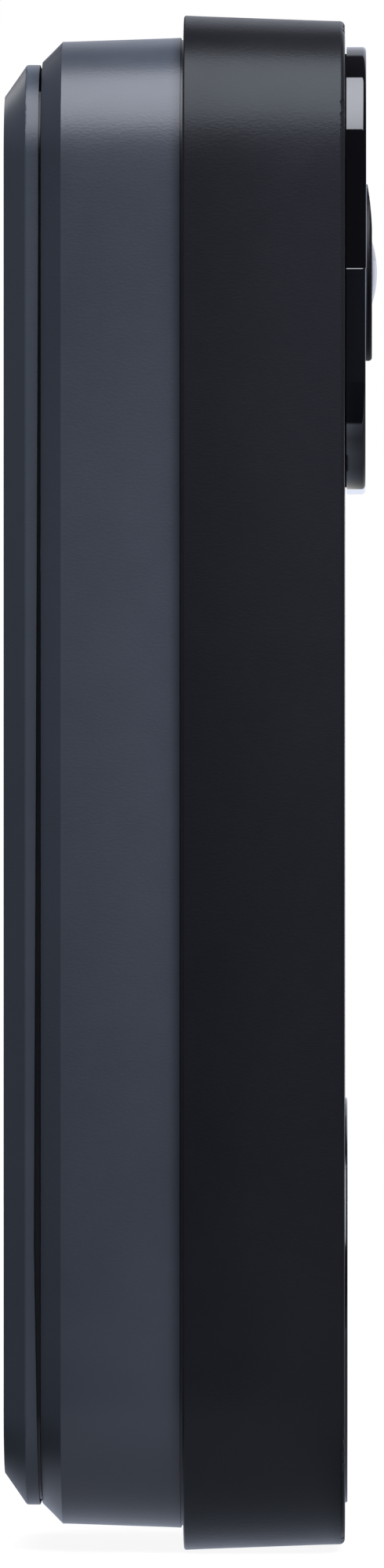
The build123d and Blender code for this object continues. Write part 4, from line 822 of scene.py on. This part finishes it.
@dataclass
class Case(SubAssembly):
    """The two mouldings, their seal, their screws and the latch."""

    finishes = {"rear_housing": GREY_ABS, "front_shell": BLACK_ABS, "case_seal": SEAL_SILICONE,
                "release_latch": ACETAL}
    screw: CrossScrew = field(default_factory=lambda: CrossScrew(3.5, 1.5, 2.0, 1.9, 0.5, 0.9))

    def build(self) -> None:
        """Builds the four case screws, whose heads look back."""
        self.screw.stand_for("case_screws", Way.BACK, "steel_fastener")


@dataclass
class CameraUnit(SubAssembly):
    """Window, lens and what sits behind them."""

    finishes = {"camera_window": WINDOW_PC, "window_tape": TAPE, "lens_ring": TRIM_PC_PAINTED_HIGHLIGHT, "lens_dome": COATED_GLASS,
                "lens_barrel": BLACK_ANODISED, "lens_elements": COATED_GLASS, "lens_holder": PLAIN_PC,
                "image_sensor": CHIP_EPOXY, "ir_leds": IR_RESIN, "microphone": TINNED_SHEET,
                "microphone_boot": SEAL_SILICONE}


@dataclass
class CallButton(SubAssembly):
    """Button cap, light ring and what is under them."""

    finishes = {"call_button": BUTTON_ABS, "light_ring": SMOKED_PC, "call_switch": SWITCH_BODY,
                "ring_leds": LAMP_RESIN}
    dome: KeyDome = field(default_factory=KeyDome)

    def build(self) -> None:
        """Builds the dome that the button presses."""
        self.dome.stand_for("button_membrane", "call_button_press", CLEAR_SILICONE, "membrane_rubber")


@dataclass
class Electronics(SubAssembly):
    """Boards, what they carry, and the speaker."""

    finishes = {"main_board": SOLDER_MASK, "camera_board": SOLDER_MASK, "shield_can": TINNED_SHEET,
                "board_chips": CHIP_EPOXY, "flex_connectors": NYLON, "flex_cable": POLYIMIDE,
                "reset_switch": SWITCH_BODY, "speaker": SPEAKER_BOX, "speaker_gasket": FOAM}
    screw: CrossScrew = field(default_factory=lambda: CrossScrew(3.0, 0.9, 1.5, 1.6, 0.42, 0.55, pitch_mm=0.6,
                                                                 thread_mm=0.12, crown_mm=0.16))

    def build(self) -> None:
        """Builds the seven board screws, whose heads look forward."""
        self.screw.stand_for("board_screws", Way.FRONT, "steel_fastener")


@dataclass
class Power(SubAssembly):
    """Cells, their contacts, the wire terminals and the reset button beside them."""

    finishes = {"cell_lower_left": CELL_FILM, "cell_lower_right": CELL_FILM, "cell_upper": CELL_FILM,
                "contact_springs": NICKEL_STEEL, "contact_plates": NICKEL_STEEL, "terminal_strips": BRASS_STRIP,
                "terminal_screws": ZINC_STEEL, "reset_button": PLAIN_PC}


@dataclass(frozen=True)
class Lamp:
    """A soft rectangular lamp, given by where it looks from and how bright its face is.

    The middle of each edge is dimmer by edge_loss. A lamp that isn't mirrored lights the pieces and shows in no gloss.
    """

    name: str
    aim: tuple[float, float, float]
    towards: tuple[float, float, float]
    distance: float
    width: float
    height: float
    radiance: float
    tint: tuple[float, float, float] = (1.0, 1.0, 1.0)
    edge_loss: float = 0.24
    mirrored: bool = True

    def build(self) -> None:
        """Adds the lamp, whose watts follow from its radiance and area, and which dims towards its edges."""
        lamp = bpy.data.lights.new(self.name, "AREA")
        lamp.shape = "RECTANGLE"
        lamp.size, lamp.size_y = self.width, self.height
        lamp.energy = self.radiance * math.pi * self.width * self.height
        lamp.color = self.tint
        lamp.use_nodes = True
        tree = lamp.node_tree
        tree.nodes.clear()
        face = add_node(tree, "ShaderNodeNewGeometry")
        half = 0.5
        middle = add_node(tree, "ShaderNodeVectorMath", {"operation": "DISTANCE", 1: (half, half, 0.0)},
                          {0: (face, "Parametric")})
        square = add_node(tree, "ShaderNodeMath", {"operation": "POWER", 1: 2.0}, {0: (middle, "Value")})
        level = add_node(tree, "ShaderNodeMath", {"operation": "MULTIPLY_ADD", 1: -self.edge_loss / half ** 2, 2: 1.0},
                         {0: (square, 0)})
        shine = add_node(tree, "ShaderNodeEmission", {"Color": WHITE}, {"Strength": (level, 0)})
        add_node(tree, "ShaderNodeOutputLight", links={0: (shine, 0)})
        obj = bpy.data.objects.new(self.name, lamp)
        away = Vector(self.towards).normalized()
        obj.location = Vector(self.aim) + away * self.distance
        obj.rotation_euler = (-away).to_track_quat("-Z", "Y").to_euler()
        obj.visible_camera = False
        obj.visible_glossy = self.mirrored
        bpy.context.scene.collection.objects.link(obj)
        log.info("lamp %s", self.name)


# The softbox is above the camera's side. The other two stand on the far side, and light the front and the back
# without reaching the side that the camera sees. The front one isn't mirrored, or it would glint on the window's bevel
LAMPS = (
    Lamp("softbox", (-0.018, -0.02, 0.053), (-0.512, 0.0, 0.859), 0.56, 0.647, 0.673, 8.0, (0.97, 1.0, 1.106)),
    Lamp("front_fill", (0.0, -0.02, 0.0), (0.45, -0.62, 0.64), 1.6, 0.7, 0.9, 9.0, mirrored=False),
    Lamp("back_fill", (0.0, 0.0, 0.0), (0.86, 0.48, 0.12), 1.6, 0.35, 0.9, 4.0),
)


@dataclass
class Studio:
    """Plain pale floor, the lamps and a white panel on the far side.

    The world is dim. Its panel comes in over panel_edge along X and goes out over panel_back along Y, as parts of a
    direction. The camera sees the floor at floor_glow, rising to white over floor_fade. Gloss sees it as fitted to
    the photograph: floor_sweep gives its level at shares of floor_span along X, then it runs to plain white.
    It goes dim behind the plate, over floor_front along Y, and drops to window_level in front of floor_window.
    """

    dim: float = 0.07
    dim_tint: tuple[float, float, float] = (0.93, 0.92, 1.15)
    panel_edge: tuple[float, float] = (0.62, 0.70)
    panel_back: tuple[float, float] = (0.1, 0.26)
    panel_tint: tuple[float, float, float] = (0.88, 0.92, 1.06)
    floor_size: float = 1.8
    floor_albedo: float = 0.12
    floor_glow: float = 0.92
    floor_fade: tuple[float, float] = (0.12, 0.4)
    floor_front: tuple[float, float] = (0.0, 0.02)
    floor_window: tuple[float, float] = (-0.031, -0.027)
    window_level: float = 0.35
    floor_tint: tuple[float, float, float] = (0.84, 0.92, 1.14)
    floor_span: tuple[float, float] = (-0.1, 0.15)
    floor_sweep: tuple[tuple[float, float], ...] = ((0.0, 0.1), (0.03, 1.7), (0.18, 0.85), (0.32, 1.15),
                                                    (0.47, 0.78), (0.64, 0.84))

    def build(self) -> None:
        """Makes the lights, the surround and the floor."""
        for lamp in LAMPS:
            lamp.build()
        self.surround()
        self.floor()

    def surround(self) -> None:
        """Makes a dim world with a white panel behind the object, which the camera sees as all white."""
        world = bpy.data.worlds.new("studio")
        bpy.context.scene.world = world
        world.use_nodes = True
        tree = world.node_tree
        tree.nodes.clear()
        ray = add_node(tree, "ShaderNodeLightPath")
        place = add_node(tree, "ShaderNodeTexCoord")
        axes = add_node(tree, "ShaderNodeSeparateXYZ", links={0: (place, "Generated")})
        across = add_node(tree, "ShaderNodeMapRange",
                          {**SOFT_ENDS, FROM_LOW: self.panel_edge[0], FROM_HIGH: self.panel_edge[1]}, {0: (axes, "X")})
        behind = add_node(tree, "ShaderNodeMapRange",
                          {**SOFT_ENDS, FROM_LOW: self.panel_back[0], FROM_HIGH: self.panel_back[1],
                           TO_LOW: 1.0, TO_HIGH: 0.0}, {0: (axes, "Y")})
        panel = add_node(tree, "ShaderNodeMath", {"operation": "MULTIPLY"}, {0: (across, 0), 1: (behind, 0)})
        dim = (*[self.dim * c for c in self.dim_tint], 1.0)
        shade = add_node(tree, "ShaderNodeMix", {"data_type": "RGBA", COLOUR_A: dim,
                                                 COLOUR_B: (*self.panel_tint, 1.0)}, {0: (panel, 0)})
        seen = add_node(tree, "ShaderNodeMath", {"operation": "MAXIMUM"},
                        {0: (ray, "Is Camera Ray"), 1: (ray, "Is Transmission Ray")})
        colour = add_node(tree, "ShaderNodeMix", {"data_type": "RGBA", COLOUR_B: WHITE},
                          {0: (seen, 0), COLOUR_A: (shade, COLOUR_OUT)})
        sky = add_node(tree, "ShaderNodeBackground", {"Strength": 1.0}, {"Color": (colour, COLOUR_OUT)})
        add_node(tree, "ShaderNodeOutputWorld", links={"Surface": (sky, 0)})
        log.info("surround")

    def floor(self) -> None:
        """Adds a floor that the camera sees as white with a soft shadow on it."""
        half = self.floor_size / 2
        low = CAD_BOX[0].z
        mesh = bpy.data.meshes.new("floor")
        corners = [(-half, -half, low), (half, -half, low), (half, half, low), (-half, half, low)]
        mesh.from_pydata(corners, [], [(0, 1, 2, 3)])
        obj = bpy.data.objects.new("floor", mesh)
        bpy.context.scene.collection.objects.link(obj)
        mesh.materials.append(self.paper())
        log.info("floor")

    def paper(self) -> bpy.types.Material:
        """Makes the floor's paper, which takes the shadow.

        Returns:
            The material.
        """
        material = bpy.data.materials.new("white_paper_floor")
        material.use_nodes = True
        tree = material.node_tree
        tree.nodes.clear()
        ray = add_node(tree, "ShaderNodeLightPath")
        place = add_node(tree, "ShaderNodeTexCoord")
        paper = add_node(tree, "ShaderNodeBsdfDiffuse", {"Color": (*[self.floor_albedo] * 3, 1.0)})
        reach = add_node(tree, "ShaderNodeVectorMath", {"operation": "LENGTH"}, {0: (place, "Object")})
        level = add_node(tree, "ShaderNodeMapRange",
                         {**SOFT_ENDS, FROM_LOW: self.floor_fade[0], FROM_HIGH: self.floor_fade[1],
                          TO_LOW: self.floor_glow, TO_HIGH: 1.0}, {0: (reach, "Value")})
        glow = add_node(tree, "ShaderNodeMath", {"operation": "MULTIPLY"}, {0: (level, 0), 1: (ray, "Is Camera Ray")})
        white = add_node(tree, "ShaderNodeEmission", {"Color": WHITE}, {"Strength": (glow, 0)})
        lit = add_node(tree, "ShaderNodeAddShader", links={0: (paper, 0), 1: (white, 0)})
        mirrored = self.mirrored(tree, place)
        mixed = add_node(tree, "ShaderNodeMixShader", links={0: (ray, "Is Glossy Ray"), 1: (lit, 0), 2: (mirrored, 0)})
        add_node(tree, "ShaderNodeOutputMaterial", links={"Surface": (mixed, 0)})
        return material

    def mirrored(self, tree: bpy.types.NodeTree, place: bpy.types.Node) -> bpy.types.Node:
        """Makes the floor as gloss sees it.

        Args:
            tree: the material's node tree.
            place: the texture coordinates.

        Returns:
            The shader.
        """
        axes = add_node(tree, "ShaderNodeSeparateXYZ", links={0: (place, "Object")})
        sweep = add_node(tree, "ShaderNodeMapRange", {FROM_LOW: self.floor_span[0], FROM_HIGH: self.floor_span[1]},
                         {0: (axes, "X")})
        ramp = add_node(tree, "ShaderNodeValToRGB", links={0: (sweep, 0)})
        stops = ramp.color_ramp.elements
        for where, _ in self.floor_sweep[1:]:
            stops.new(where)
        # The stops are in the order of their places, and the last one keeps the ramp's own white
        for stop, (_, tone) in zip(stops, self.floor_sweep):
            stop.color = (*[tone * c for c in self.floor_tint], 1.0)
        front = add_node(tree, "ShaderNodeMapRange",
                         {**SOFT_ENDS, FROM_LOW: self.floor_front[0], FROM_HIGH: self.floor_front[1],
                          TO_LOW: 1.0, TO_HIGH: self.dim}, {0: (axes, "Y")})
        under = add_node(tree, "ShaderNodeMapRange",
                         {**SOFT_ENDS, FROM_LOW: self.floor_window[0], FROM_HIGH: self.floor_window[1],
                          TO_LOW: self.window_level, TO_HIGH: 1.0}, {0: (axes, "Y")})
        strength = add_node(tree, "ShaderNodeMath", {"operation": "MULTIPLY"}, {0: (front, 0), 1: (under, 0)})
        return add_node(tree, "ShaderNodeEmission", links={"Color": (ramp, 0), "Strength": (strength, 0)})


@dataclass
class ProductCamera:
    """Camera of the photograph: level, on the left side, set a little towards the front."""

    distance: float = 1.1
    turn_deg: float = 0.75
    frame_height_mm: float = 134.04
    aim_depth_mm: float = 15.71
    aim_height_mm: float = -0.11
    sensor_mm: float = 36.0

    def build(self) -> None:
        """Makes the camera and gives it to the scene."""
        data = bpy.data.cameras.new("product_camera")
        data.sensor_width = self.sensor_mm
        data.lens = self.sensor_mm * self.distance / (self.frame_height_mm * MM)
        obj = bpy.data.objects.new("product_camera", data)
        turn = math.radians(self.turn_deg)
        ahead = Vector((math.cos(turn), math.sin(turn), 0.0))
        obj.location = Vector((0.0, -self.aim_depth_mm * MM, self.aim_height_mm * MM)) - ahead * self.distance
        obj.rotation_euler = ahead.to_track_quat("-Z", "Y").to_euler()
        bpy.context.scene.collection.objects.link(obj)
        bpy.context.scene.camera = obj
        log.info("camera")


def main() -> None:
    """Builds and dresses the sub-assemblies, then the studio and the camera."""
    logging.basicConfig(level=logging.INFO, format="%(name)s: %(message)s")
    bpy.context.scene.view_settings.view_transform = "Standard"
    for part in (WallPlate(), Case(), CameraUnit(), CallButton(), Electronics(), Power()):
        part.build()
        part.dress()
    Studio().build()
    ProductCamera().build()


if __name__ == "__main__":
    main()
